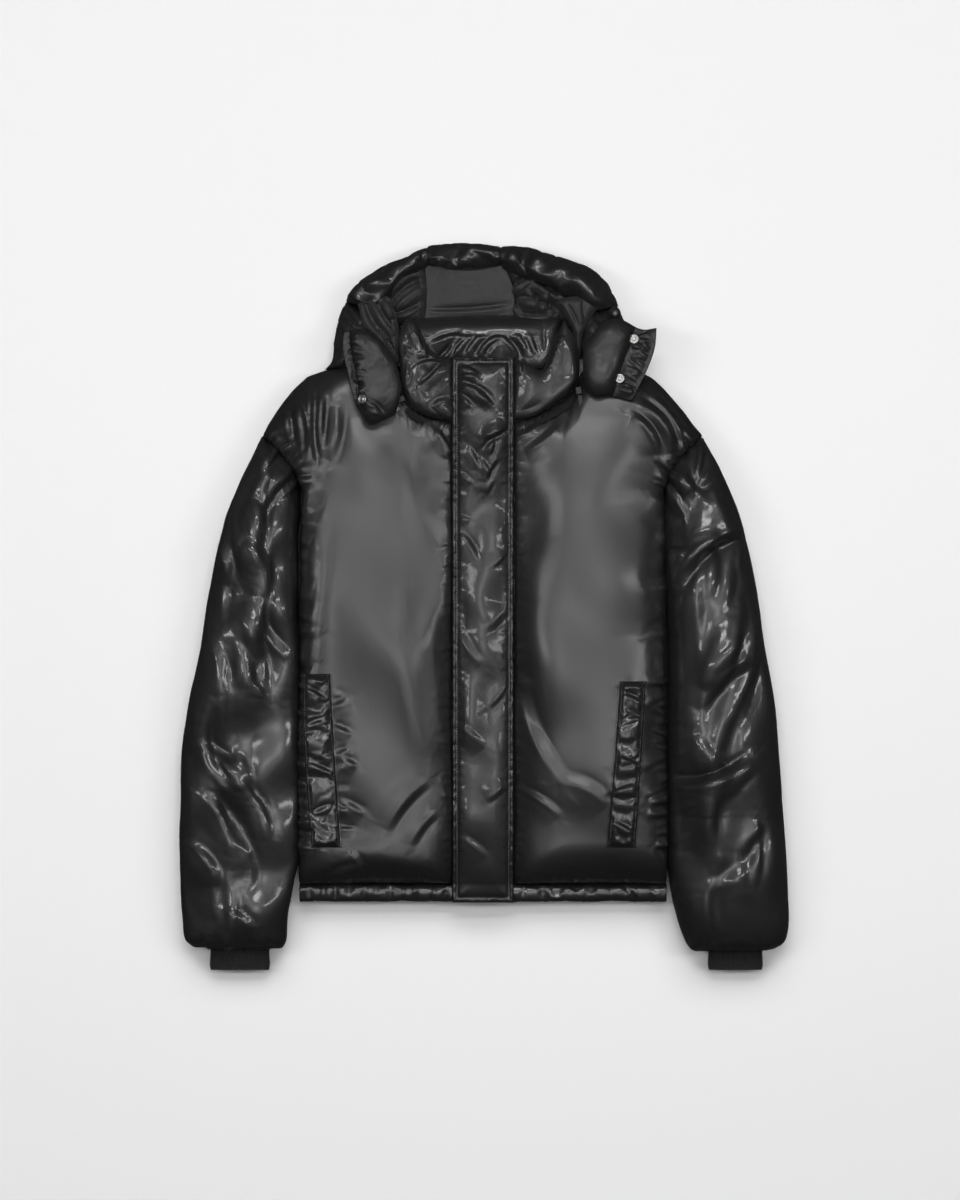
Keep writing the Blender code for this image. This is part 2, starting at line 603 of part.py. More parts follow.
def make_welt(side):
    """A padded pocket welt that lies on its front, made from the front's surface moved out."""
    rows = through(WELTS[side], 11)
    share = np.array((0.0, 0.12, 0.5, 0.88, 1.0))
    x = SIGN[side] * (rows[:, :1] + share[None, :] * (rows[:, 1:2] - rows[:, :1]))
    y = np.repeat(rows[:, 2:3], len(share), axis=1)
    loft = np.array((0.0, 0.55, 1.0, 0.55, 0.0))[None, :] * np.sin(np.linspace(0.12, 0.88, 11) * math.pi)[:, None]
    lower = welt_rest(side, x, y)
    padded_panel(f"pocket_welt_{side}", np.dstack([x, y]), lower + 0.0028 + WELT_LOFT * loft, lower, BLACK_NYLON)


def welt_rest(side, x, y):
    """The front's surface below a welt, moved out to clear the facets between the grid points."""
    reach = 0.012
    around = [front_top(side, x + dx, y + dy) for dx in (-reach, 0, reach) for dy in (-reach, 0, reach)]
    return np.max(around, axis=0) + SEAM_GAP


def sleeve_rings(side):
    """Outer and inner rings of a sleeve, from the armhole to the cuff end."""
    rows = through(SLEEVE_SECTIONS[side], SLEEVE_ALONG)
    rows[-1] = SLEEVE_SECTIONS[side][-1]
    sign = SIGN[side]
    outer, inner = [], []
    for place, row in zip(np.linspace(0, 1, SLEEVE_ALONG), rows):
        out_x, out_y, in_x, in_y, height, hollow_half, hollow_height = row
        first, second = np.array((sign * out_x, out_y)), np.array((sign * in_x, in_y))
        ring = resting_ring(second, first, height, SLEEVE_AROUND)
        share = np.clip((ring[:, 2] / height - 0.35) / 0.65, 0, 1)
        to_outer = np.linalg.norm(ring[:, :2] - second, axis=1) / np.linalg.norm(first - second)
        for along, slant, half_width, depth in SLEEVE_FOLDS[side]:
            offset = (place - along - slant * (0.5 - to_outer)) / half_width
            ring[:, 2] -= depth * share * np.exp(-(offset**2))
        outer.append(ring)
        middle = np.array((*(first + second) / 2, 0.42 * height))
        middle[2] = CUFF_MID_Z if hollow_height > 0.005 else middle[2]
        direction = (first - second) / np.linalg.norm(first - second)
        hollow = oval_ring(middle, direction, hollow_half, hollow_height / 2, SLEEVE_AROUND)
        inner.append(hollow)
    return outer, inner


def make_sleeve(side):
    """A sleeve: a padded wall round a hollow that lies flat, open at the armhole and the cuff."""
    outer, inner = sleeve_rings(side)
    walled_tube(f"sleeve_{side}", outer, inner, BLACK_NYLON)


def make_cuff(side):
    """A rib-knit cuff: a flattened tube that comes out of the sleeve end."""
    centre_x, wide, narrow = CUFFS[side]
    outer, inner = [], []
    for y, half in zip(np.linspace(CUFF_START_Y, CUFF_END_Y, 4), np.linspace(wide, narrow, 4)):
        centre = (SIGN[side] * centre_x, y, CUFF_MID_Z)
        outer.append(oval_ring(centre, (1, 0), half, CUFF_THICKNESS / 2, 16))
        inner.append(oval_ring(centre, (1, 0), half - CUFF_WALL, CUFF_THICKNESS / 2 - CUFF_WALL, 16))
    walled_tube(f"cuff_{side}", outer, inner, BLACK_RIB)


def make_collar():
    """The padded stand collar: two front halves, and the back half whose inner face shows behind them."""
    for side, sign in SIGN.items():
        lower, outer, upper = COLLAR_HALVES[side]
        flipped = [[(sign * x, y) for x, y in run] for run in (lower, outer, upper)]
        inner = [flipped[0][0], ((flipped[0][0][0]), 0.275), flipped[2][0]]
        plan = patch(flipped[0], flipped[2], inner, flipped[1], 10, 8)
        u, v = edge_share(plan)
        width = 0.09
        under_placket = np.abs(plan[..., 0]) < PLACKET_HALF_WIDTH + 0.0130
        near = joined(ease((1 - u) * width, 0.030), ease(v * 0.075, 0.028), ease((1 - v) * 0.075, 0.024))
        upper_z = COLLAR_BASE_Z + 0.003 + (COLLAR_LOFT - 0.003) * np.clip(1 - near, 0, 1)
        limit = placket_rest(plan[..., 1]) - PLACKET_GAP
        upper_z = np.where(under_placket, np.minimum(upper_z, limit), upper_z)
        padded_panel(f"collar_{side}", plan, upper_z, np.full_like(upper_z, COLLAR_BASE_Z), BLACK_NYLON)

    (x0, x1), (y0, y1), (z0, z1) = COLLAR_BACK_X, COLLAR_BACK_Y, COLLAR_BACK_Z
    plan = patch(
        [(x0, y0), (0.0, y0 - 0.008), (x1, y0)],
        [(x0, y1 - 0.006), (0.0, y1), (x1, y1 - 0.004)],
        [(x0, y0), (x0, y0 + 0.02), (x0, y1 - 0.006)],
        [(x1, y0), (x1, y0 + 0.02), (x1, y1 - 0.004)],
        11,
        6,
    )
    u, v = edge_share(plan)
    near = joined(ease(u * (x1 - x0), 0.020), ease((1 - u) * (x1 - x0), 0.020), ease((1 - v) * 0.05, 0.020), ease(v * 0.05, 0.016))
    upper_z = z0 + 0.003 + (z1 - z0 - 0.003) * np.clip(1 - near, 0, 1)
    padded_panel("collar_back", plan, upper_z, np.full_like(upper_z, z0), BLACK_NYLON)


def flap_shape(name):
    """Plan grid and upper heights of a chin flap: padded, with a thin strip along its free edge."""
    plan = patch(*FLAPS[name], 10, 9)
    u, v = edge_share(plan)
    padded = (u if name.endswith("left") else 1 - u) / FLAP_PADDED_SHARE[name]
    dome = np.clip(1 - joined(ease(padded * 0.055, 0.028), ease((1 - padded) * 0.055, 0.022)), 0, 1)
    ends = np.clip(1 - joined(ease(v * 0.09, 0.025), ease((1 - v) * 0.09, 0.020)), 0, 1)
    thickness = FLAP_STRIP_THICKNESS * (0.6 + 0.4 * ends) + (FLAP_LOFT - FLAP_STRIP_THICKNESS) * dome * ends
    return plan, FLAP_REST_Z + thickness


def make_hood():
    """The hood laid open behind the collar: shell, rim rolls, sides, chin flaps and lining."""
    plan = patch(*HOOD_SHELL, 12, 7)
    u, v = edge_share(plan)
    near = joined(ease(u * 0.24, 0.03), ease((1 - u) * 0.24, 0.03), ease(v * 0.12, 0.03), ease((1 - v) * 0.12, 0.02))
    upper = 0.004 + (HOOD_SHELL_LOFT - 0.004) * np.clip(1 - near, 0, 1)
    padded_panel("hood_shell", plan, upper, np.zeros_like(upper), BLACK_NYLON)

    for name, rows in RIM_ROLLS.items():
        rows = through(rows, 9)
        rings = [resting_ring((ix, iy), (ox, oy), height, 10) for ox, oy, ix, iy, height in rows]
        padded_roll(name, rings, BLACK_NYLON)

    for name, edges in HOOD_SIDES.items():
        plan = patch(*edges, 7, 7)
        u, v = edge_share(plan)
        near = joined(ease(u * 0.08, 0.025), ease((1 - u) * 0.08, 0.025), ease(v * 0.06, 0.020), ease((1 - v) * 0.06, 0.020))
        puff = np.clip(1 - near, 0, 1)
        lower = np.interp(v, (0.0, 0.75), (HOOD_SIDE_REST, 0.0)) + 0.012 * (1 - puff) * np.clip(1 - v, 0, 1)
        upper = np.maximum(lower + 0.004, HOOD_SIDE_REST + 0.004 + (HOOD_SIDE_TOP - HOOD_SIDE_REST) * puff)
        padded_panel(name, plan, upper, lower, BLACK_NYLON)

    rings = [
        resting_ring((ix, iy), (ox, oy), height, 8, HOOD_TAB_REST) for ox, oy, ix, iy, height in HOOD_TAB_ROWS
    ]
    padded_roll("hood_channel_end", rings, BLACK_NYLON)

    for name in FLAPS:
        plan, upper = flap_shape(name)
        padded_panel(name, plan, upper, np.full_like(upper, FLAP_REST_Z), BLACK_NYLON)

    for name, edges in LININGS.items():
        plan = patch(*edges, 6, 6)
        u, v = edge_share(plan)
        away = np.abs(plan[..., 0] + 0.02) / 0.11
        height = LINING_LOW_Z + (LINING_HIGH_Z - LINING_LOW_Z) * np.clip(np.maximum(v**2, away**2), 0, 1)
        padded_panel(name, plan, height + LINING_THICKNESS, height, BLACK_LINING)


def make_snaps():
    """A ring-faced press stud at each place on the flaps' strips."""
    for name, (x, y, flap) in SNAPS.items():
        plan, upper = flap_shape(flap)
        near = np.linalg.norm(plan - np.array((x, y)), axis=-1) < SNAP_SEAT_REACH
        rest = upper[near].max() + SEAM_GAP
        profile = (
            (SNAP_RADIUS, 0.0), (SNAP_RADIUS, 0.6), (SNAP_RADIUS * 0.86, 1.6), (SNAP_RADIUS * 0.66, 1.6),
            (SNAP_RADIUS * 0.52, 0.7), (SNAP_RADIUS * 0.34, 0.7), (SNAP_RADIUS * 0.26, 1.8), (0.0, 2.0),
        )
        rings = []
        for radius, rise in profile[:-1]:
            centre = (x, y, rest + rise * SNAP_TUBE)
            rings.append(oval_ring(centre, (1, 0), radius, 0.0, SNAP_AROUND) + turned_offset(radius, SNAP_AROUND))
        padded_roll(name, rings, SILVER_METAL)


def turned_offset(radius, around):
    """The y part of a level ring, which an upright oval of no height lacks."""
    angle = np.linspace(0, 2 * math.pi, around, endpoint=False)
    return radius * np.column_stack([np.zeros(around), np.sin(angle), np.zeros(around)])


def make_block(name, centre, size, bevel, look):
    """A small hard piece: a cube primitive sized in its mesh, its edges bevelled."""
    shape = bmesh.new()
    bmesh.ops.create_cube(shape, size=1.0)
    bmesh.ops.scale(shape, vec=size, verts=shape.verts)
    bmesh.ops.bevel(shape, geom=shape.edges, offset=bevel, segments=1, profile=0.5, affect="EDGES")
    mesh = bpy.data.meshes.new(name)
    shape.to_mesh(mesh)
    shape.free()
    mesh.materials.append(finish(*look))
    made = bpy.data.objects.new(name, mesh)
    made.location = centre
    bpy.context.scene.collection.objects.link(made)
    return made


def tape_rest(side, x, y):
    """The front's surface below the zip tape, moved out."""
    around = [front_top(side, x + dx, y + dy) for dx in (-0.004, 0, 0.004) for dy in (-0.006, 0, 0.002)]
    return np.max(around, axis=0) + SEAM_GAP


def make_hood_zip():
    """The ends of the hood's zip that show beside the neck seam, each with its slider and pull tab."""
    for name, points in ZIP_TAPES.items():
        side = name.rsplit("_", 1)[1]
        line = through(points, 6)
        direction = np.gradient(line, axis=0)
        direction /= np.linalg.norm(direction, axis=1)[:, None]
        normal = np.column_stack([-direction[:, 1], direction[:, 0]]) * SIGN[side]
        plan = line[:, None, :] + normal[:, None, :] * np.array((-ZIP_TAPE_HALF, 0.0, ZIP_TAPE_HALF))[None, :, None]
        lower = tape_rest(side, plan[..., 0], plan[..., 1])
        padded_panel(name, plan, lower + 0.0016, lower, BLACK_TAPE)
    for side, (x, y, z, turn) in SLIDERS.items():
        slider = make_block(f"hood_slider_{side}", (x, y, z), SLIDER_SIZE, 0.0008, BLACK_METAL)
        slider.rotation_euler.z = math.radians(turn)


def make_pull_tab(side):
    """A pull tab: a blade with a round eye on the hinge axis at the nose of its slider."""
    x, y, z, turn = SLIDERS[side]
    angle = math.radians(turn)
    eye = np.linspace(math.radians(35), math.radians(325), 9)
    profile = [(PULL_EYE_RADIUS * math.cos(a), PULL_EYE_RADIUS * math.sin(a)) for a in eye]
    profile += [(PULL_LENGTH, -PULL_THICKNESS / 2), (PULL_LENGTH, PULL_THICKNESS / 2)]
    rings = [np.array([(along, offset, rise) for along, rise in profile]) for offset in (-PULL_WIDTH / 2, PULL_WIDTH / 2)]
    tab = padded_roll(f"pull_tab_{side}", rings, BLACK_METAL)
    tab.location = (x + HINGE_AHEAD * math.cos(angle), y + HINGE_AHEAD * math.sin(angle), z + HINGE_RISE)
    tab.rotation_euler.z = angle


def main():
    """Clears the scene and builds every piece of the jacket."""
    for old in list(bpy.data.objects):
        bpy.data.objects.remove(old)
    make_body()
    make_placket()
    for side in SIGN:
        make_welt(side)
        make_sleeve(side)
        make_cuff(side)
    make_collar()
    make_hood()
    make_snaps()
    make_hood_zip()
    for side in SIGN:
        make_pull_tab(side)


main()
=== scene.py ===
"""The looks of a hooded puffer jacket laid flat: padded cloth, lining, rib, stitches, metal and a studio.

The frame's own sizes hold here: metres, +X to the wearer's left, +Y from the hem to the hood, +Z up from
the surface that the jacket lies on. "right" and "left" are the wearer's. Tables are in millimetres.
"""

from __future__ import annotations

import logging
import math
from collections.abc import Callable, Iterable, Sequence
from dataclasses import dataclass, field
from enum import Enum

import bmesh
import bpy
import numpy as np
from mathutils import Matrix, Vector
from mathutils.bvhtree import BVHTree


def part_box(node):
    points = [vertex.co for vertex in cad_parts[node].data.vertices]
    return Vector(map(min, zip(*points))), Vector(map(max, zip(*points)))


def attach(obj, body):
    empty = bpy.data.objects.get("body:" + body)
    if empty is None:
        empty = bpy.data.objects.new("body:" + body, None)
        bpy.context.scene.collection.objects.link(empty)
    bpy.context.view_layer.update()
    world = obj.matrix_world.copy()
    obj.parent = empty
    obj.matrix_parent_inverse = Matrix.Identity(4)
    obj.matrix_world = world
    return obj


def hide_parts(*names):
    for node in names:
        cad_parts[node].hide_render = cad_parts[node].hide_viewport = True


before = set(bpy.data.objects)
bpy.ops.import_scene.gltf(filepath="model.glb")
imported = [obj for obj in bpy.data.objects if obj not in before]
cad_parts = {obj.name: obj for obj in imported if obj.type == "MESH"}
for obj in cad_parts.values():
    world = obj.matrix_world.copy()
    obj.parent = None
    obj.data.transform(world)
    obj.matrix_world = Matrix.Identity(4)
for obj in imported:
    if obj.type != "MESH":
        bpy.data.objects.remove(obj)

LOG = logging.getLogger("puffer_jacket")
Array = np.ndarray
Run = Sequence[tuple[float, float]]
Triple = tuple[float, float, float]
Skin = tuple[np.ndarray, list[tuple[int, ...]]]
STEPS_BETWEEN_KNOTS = 12
FOLD_FADE = 2.2
HEM_SEAM_Y = -0.352
HEM_Y = -0.3755
SHOULDER_FROM_X = 0.12
UNDER_FLAP = 0.0016
SEAT_Z = 0.0390
SEAT_RISE = 0.0190
NECK_RISE = 0.0160


class Side(Enum):
    """The wearer's side, valued by its sign along X."""

    RIGHT = -1.0
    LEFT = 1.0

    @property
    def word(self) -> str:
        """The side's name as node names spell it."""
        return self.name.lower()


# ------------------------ sizes in millimetres


def metres(values: Iterable[float]) -> tuple[float, ...]:
    """Sizes given in millimetres, in metres."""
    return tuple(round(value / 1000, 7) for value in values)


def run(*values: float) -> Run:
    """A run of plan points from their x and y in turn, in millimetres."""
    return tuple(zip(metres(values[::2]), metres(values[1::2])))


def framed(low: Run, high: Run, first: Run, second: Run) -> tuple[Run, Run, Run, Run]:
    """A panel's four edges, from its lower and upper ones and the inner points of its two sides."""
    return low, high, (low[0], *first, high[0]), (low[-1], *second, high[-1])


def sections(*rows: Sequence[float]) -> tuple[tuple[float, ...], ...]:
    """The sections of a tube or roll, one row each, in millimetres."""
    return tuple(metres(row) for row in rows)


# ------------------------ plan geometry


def through(points: Run, places: int | Array) -> Array:
    """A smooth run of points through the given ones.

    Args:
        points: the points that the run passes through.
        places: how many evenly spaced points to give, or their shares of the run's length.

    Returns:
        The points, one row each.
    """
    knots = np.array(points, float)
    padded = np.vstack([2 * knots[0] - knots[1], knots, 2 * knots[-1] - knots[-2]])
    share = np.linspace(0, 1, STEPS_BETWEEN_KNOTS + 1)[:-1, None]
    fine = [
        b + 0.5 * share * (c - a + share * (2 * a - 5 * b + 4 * c - d + share * (3 * (b - c) + d - a)))
        for a, b, c, d in zip(padded, padded[1:], padded[2:], padded[3:])
    ]
    run = np.vstack([*fine, knots[-1:]])
    along = np.concatenate([[0], np.cumsum(np.linalg.norm(np.diff(run, axis=0), axis=1))])
    shares = np.linspace(0, 1, places) if isinstance(places, int) else np.asarray(places)
    return np.stack([np.interp(shares * along[-1], along, run[:, k]) for k in range(run.shape[1])], axis=1)


def turns(count: int) -> Array:
    """Evenly spaced angles round one full turn."""
    return np.linspace(0, 2 * math.pi, count, endpoint=False)


def measured(run: Array) -> Array:
    """How far along a run each of its points is, from 0 to 1."""
    along = np.concatenate([[0], np.cumsum(np.linalg.norm(np.diff(run, axis=0), axis=1))])
    return along / along[-1]


def headings(points: Run, shares: Array, step: float = 0.01) -> Array:
    """Unit directions along a smooth run at shares of its length, each taken over a step to both sides."""
    before, after = np.maximum(shares - step, 0.0), np.minimum(shares + step, 1.0)
    ahead = through(points, after) - through(points, before)
    return ahead / np.linalg.norm(ahead, axis=1, keepdims=True)


def spanned(low: Array, high: Array, start: Array, end: Array) -> Array:
    """A grid of plan points blended from four runs of edge points that share their corners.

    Args:
        low: the first row's points.
        high: the last row's points.
        start: the first column's points.
        end: the last column's points.

    Returns:
        The grid, rows by columns by 2.
    """
    u = measured(low)[None, :, None]
    v = measured(start)[:, None, None]
    ruled = (1 - v) * low[None] + v * high[None] + (1 - u) * start[:, None] + u * end[:, None]
    corners = (1 - u) * (1 - v) * low[0] + u * (1 - v) * low[-1] + (1 - u) * v * high[0] + u * v * high[-1]
    return ruled - corners


def patch(edges: Sequence[Run], columns: int, rows: int, crowd: float = 0.5) -> Array:
    """A plan grid between four edges, its lines closer together towards the seams.

    Args:
        edges: the lower, upper, first and second edges.
        columns: how many points across.
        rows: how many points along.
        crowd: from 0, evenly spaced, to 1, crowded towards the seams.

    Returns:
        The grid, rows by columns by 2.
    """
    lower, upper, first, second = edges
    u, v = seam_spaced(columns, crowd), seam_spaced(rows, crowd)
    return spanned(through(lower, u), through(upper, u), through(first, v), through(second, v))


def seam_spaced(count: int, crowd: float = 0.5) -> Array:
    """Shares from 0 to 1, closer together towards both ends."""
    even = np.linspace(0, 1, count)
    return (1 - crowd) * even + crowd * (0.5 - 0.5 * np.cos(math.pi * even))


def ease(distance: Array, reach: float, fullness: float = 2.0) -> Array:
    """1 on a seam, falling to 0 at reach away: on a quarter round, or squarer where fullness is over 2."""
    share = np.clip(distance / reach, 0, 1)
    return 1 - np.clip(1 - (1 - share) ** fullness, 0, 1) ** (1 / fullness)


def away(run: Run, x: Array, y: Array) -> Array:
    """Distance in plan from a run of straight lines to each position."""
    spots = np.stack([np.ravel(x), np.ravel(y)], axis=1)
    nearest = np.full(len(spots), np.inf)
    for start, end in zip(run, run[1:]):
        step = np.subtract(end, start)
        offset = spots - np.array(start)
        share = np.clip(offset @ step / (step @ step), 0, 1)
        nearest = np.minimum(nearest, np.linalg.norm(offset - share[:, None] * step, axis=1))
    return nearest.reshape(np.shape(x))


def joined(*drops: Array) -> Array:
    """Several drops towards seams as one, rounded where two of them meet."""
    return sum(np.clip(drop, 0, None) ** 3 for drop in drops) ** (1 / 3)


def edge_share(grid: Array) -> tuple[Array, Array]:
    """How far across and along a grid each point lies, measured over its edges, as shares from 0 to 1."""
    return np.meshgrid(measured(grid[0]), measured(grid[:, 0]))


def ripples(x: Array, y: Array, pitch: float, seed: int, waves: int = 14) -> Array:
    """Soft uneven undulation, about -1 to 1, from seeded waves that cross each other.

    Args:
        x: plan positions.
        y: plan positions.
        pitch: the usual distance from crest to crest.
        seed: picks one pattern.
        waves: how many waves cross.

    Returns:
        The undulation at each position.
    """
    chance = np.random.default_rng(seed)
    total = np.zeros_like(x)
    for _ in range(waves):
        turn, phase = chance.uniform(0, 2 * math.pi, 2)
        number = 2 * math.pi / (pitch * chance.uniform(0.7, 1.6))
        total += np.sin(number * (x * math.cos(turn) + y * math.sin(turn)) + phase)
    return total / math.sqrt(waves / 2) / 1.4


def smoothed(values: Array, times: int, wraps: bool = False) -> Array:
    """A grid of values averaged with its neighbours so many times.

    Args:
        values: the grid, with or without a last axis of parts.
        times: how many rounds of averaging.
        wraps: whether its columns close on themselves.

    Returns:
        The averaged grid.
    """
    spare = [(0, 0)] * (values.ndim - 2)
    for _ in range(times):
        ringed = np.pad(values, [(1, 1), (0, 0), *spare], mode="edge")
        ringed = np.pad(ringed, [(0, 0), (1, 1), *spare], mode="wrap" if wraps else "edge")
        along = ringed[:-2, 1:-1] + ringed[2:, 1:-1]
        values = (along + ringed[1:-1, :-2] + ringed[1:-1, 2:] + 2 * values) / 6
    return values


# ------------------------ folds in cloth


@dataclass(frozen=True)
class Fold:
    """A crease along a bowed line in plan: padding swells up to a sharp ridge beside a sharp valley.

    The valley lies left of the line's run where rise is positive. Both fade out towards the line's ends.
    """

    start: tuple[float, float]
    end: tuple[float, float]
    bow: float = 0.0
    width: float = 0.007
    rise: float = 0.004
    lean: float = 0.45

    def height(self, x: Array, y: Array) -> Array:
        """How far the fold lifts the cloth at plan positions.

        Args:
            x: plan positions.
            y: plan positions.

        Returns:
            The lift, in metres.
        """
        a, b = np.array(self.start), np.array(self.end)
        across = np.array([-(b - a)[1], (b - a)[0]]) / np.linalg.norm(b - a)
        t = np.linspace(0, 1, 21)[:, None]
        line = a + t * (b - a) + 4 * t * (1 - t) * self.bow * across
        lift = np.zeros_like(x)
        reach = 4 * self.width
        low, high = line.min(axis=0) - reach, line.max(axis=0) + reach
        near = (x > low[0]) & (x < high[0]) & (y > low[1]) & (y < high[1])
        if not near.any():
            return lift
        spots = np.stack([x[near], y[near]], axis=1)
        step = line[1:] - line[:-1]
        offset = spots[:, None] - line[None, :-1]
        share = np.clip((offset * step).sum(-1) / (step**2).sum(-1), 0, 1)
        gap = offset - share[..., None] * step
        distance = np.linalg.norm(gap, axis=-1)
        nearest = distance.argmin(axis=1)
        rows = np.arange(len(spots))
        along = (nearest + share[rows, nearest]) / (len(line) - 1)
        side = np.sign(step[nearest, 0] * gap[rows, nearest, 1] - step[nearest, 1] * gap[rows, nearest, 0])
        s = distance[rows, nearest] / self.width * np.where(side < 0, -1, 1)
        taper = np.clip(np.sin(math.pi * np.clip(along, 0.02, 0.98)), 0, 1) ** 0.8
        ridge = np.exp(-(np.sqrt(s**2 + 0.04) - 0.2) / 0.95)
        valley = np.exp(-(np.sqrt((s - 1.5) ** 2 + 0.04) - 0.2) / 0.75)
        swell = np.exp(-(((s + 1.6) / 1.9) ** 2))
        profile = 0.70 * ridge + 0.35 * swell - self.lean * valley
        lift[near] = self.rise * taper * profile
        return lift


def folds(*rows: Sequence[float]) -> tuple[Fold, ...]:
    """Folds from rows of start x and y, end x and y, bow, width and rise in millimetres, then any lean."""
    return tuple(Fold(metres(row[:2]), metres(row[2:4]), *metres(row[4:7]), *row[7:]) for row in rows)


def folded(x: Array, y: Array, creases: Iterable[Fold]) -> Array:
    """The lift of several folds together at plan positions."""
    lift = np.zeros_like(x)
    for fold in creases:
        lift += fold.height(x, y)
    return lift


@dataclass(frozen=True)
class Seam:
    """A seam that gathers the cloth on one side of it, as it lies on the wearer's right."""

    run: Run
    pitch: float
    length: float
    rise: float
    width: float
    seed: int
    into: float = 1.0
    slant: float = 0.0

    def gathers(self, side: Side) -> tuple[Fold, ...]:
        """Short uneven creases that start on the seam.

        Args:
            side: the side to make them for; the left seam mirrors the right one, with its own creases.

        Returns:
            The creases.
        """
        chance = np.random.default_rng(self.seed + int(side.value))
        run = [(-side.value * x, y) for x, y in self.run]
        fine = through(run, 120)
        total = np.linalg.norm(np.diff(fine, axis=0), axis=1).sum()
        count = max(2, int(total / self.pitch))
        shares = (np.arange(count) + chance.uniform(0.1, 0.9, count)) / count
        spots = through(run, shares)
        ahead = headings(run, shares)
        made = []
        for spot, (dx, dy) in zip(spots, ahead):
            turn = self.slant + chance.uniform(-0.45, 0.45)
            reach = self.length * chance.uniform(0.5, 1.4)
            into = -side.value * self.into
            way = math.cos(turn) * into * np.array((-dy, dx)) + math.sin(turn) * np.array((dx, dy))
            first, last = spot - 0.5 * reach * way, spot + reach * way
            width, rise = self.width * chance.uniform(0.8, 1.4), self.rise * chance.uniform(0.5, 1.3)
            bow = reach * chance.uniform(-0.12, 0.12)
            made.append(Fold(tuple(first), tuple(last), bow, width, rise, 0.6))
        return tuple(made)


@dataclass(frozen=True)
class Drape:
    """Lesser creases scattered along a length of cloth, as it lies on the wearer's right."""

    run: Run
    half_width: float
    count: int
    turn: float
    length: float
    width: float
    rise: float
    seed: int

    def folds(self, side: Side) -> tuple[Fold, ...]:
        """The creases on one side, each turned a little from the run of the cloth."""
        chance = np.random.default_rng(self.seed + int(side.value))
        shares = (np.arange(self.count) + chance.uniform(0.0, 1.0, self.count)) / self.count
        spots = through(self.run, shares)
        ahead = headings(self.run, shares)
        made = []
        for spot, (dx, dy) in zip(spots, ahead):
            turn = self.turn + chance.uniform(-0.35, 0.35)
            way = math.cos(turn) * np.array((dx, dy)) + math.sin(turn) * np.array((-dy, dx))
            middle = spot + self.half_width * chance.uniform(-1.0, 1.0) * np.array((-dy, dx))
            half = 0.5 * self.length * chance.uniform(0.5, 1.5) * way
            first, last = (tuple((middle + step) * (-side.value, 1.0)) for step in (-half, half))
            width, rise = self.width * chance.uniform(0.7, 1.4), self.rise * chance.uniform(0.5, 1.4)
            bow = self.length * chance.uniform(-0.14, 0.14)
            made.append(Fold(first, last, bow, width, rise, chance.uniform(0.4, 0.8)))
        return tuple(made)


# ------------------------ cloth as grids


@dataclass
class ClothGrid:
    """A grid of cloth points, rows by columns by 3, that may close on itself from column to column."""

    points: Array
    wraps: bool = False

    def faces(self) -> list[tuple[int, ...]]:
        """The grid's quads, as indices into its points row by row."""
        rows, columns = self.points.shape[:2]
        index = np.arange(rows * columns).reshape(rows, columns)
        if self.wraps:
            index = np.hstack([index, index[:, :1]])
        quads = np.stack([index[:-1, :-1], index[:-1, 1:], index[1:, 1:], index[1:, :-1]], axis=-1)
        return [tuple(quad) for quad in quads.reshape(-1, 4).tolist()]

    def normals(self) -> Array:
        """Unit normals, outwards: the highest point's is turned up and the rest follow it."""
        points = self.points
        if self.wraps:
            across = np.roll(points, -1, axis=1) - np.roll(points, 1, axis=1)
        else:
            across = np.gradient(points, axis=1)
        normal = np.cross(across, np.gradient(points, axis=0))
        normal /= np.maximum(np.linalg.norm(normal, axis=-1, keepdims=True), 1e-9)
        highest = np.unravel_index(points[..., 2].argmax(), points.shape[:2])
        return normal if normal[highest][2] > 0 else -normal

    def lifted(self, rise: Array) -> ClothGrid:
        """The grid moved out along its normals."""
        return ClothGrid(self.points + rise[..., None] * self.normals(), self.wraps)

    def creased(self, creases: Iterable[Fold], share: float, mask: Array | float = 1.0) -> ClothGrid:
        """The grid lifted by a share of some folds where it faces up, under a mask."""
        facing = np.clip(self.normals()[..., 2] * FOLD_FADE, 0, 1)
        lift = share * folded(self.points[..., 0], self.points[..., 1], creases)
        return self.lifted(lift * facing * mask)

    def refined(self) -> ClothGrid:
        """The grid with a point added between each two, on a smooth curve through their neighbours."""
        return ClothGrid(self._doubled(self._doubled(self.points, 0, False), 1, self.wraps), self.wraps)

    @staticmethod
    def _doubled(points: Array, axis: int, wraps: bool) -> Array:
        """Points with a smooth midpoint after each one along an axis."""
        work = np.moveaxis(points, axis, 0)
        if wraps:
            ring = np.concatenate([work[-1:], work, work[:2]])
        else:
            ring = np.concatenate([2 * work[:1] - work[1:2], work, 2 * work[-1:] - work[-2:-1]])
        middle = (9 * (ring[1:-2] + ring[2:-1]) - ring[:-3] - ring[3:]) / 16
        count = len(work) * 2 if wraps else len(work) * 2 - 1
        doubled = np.empty((count, *work.shape[1:]))
        doubled[0::2] = work
        doubled[1::2] = middle
        return np.moveaxis(doubled, 0, axis)


def laid(x: Array, y: Array, z: Array, wraps: bool = False) -> ClothGrid:
    """A grid of cloth at plan positions and heights."""
    return ClothGrid(np.dstack([x, y, z]), wraps)


def added(name: str, data: bpy.types.ID) -> bpy.types.Object:
    """A new object in the scene that holds some data."""
    made = bpy.data.objects.new(name, data)
    bpy.context.scene.collection.objects.link(made)
    return made


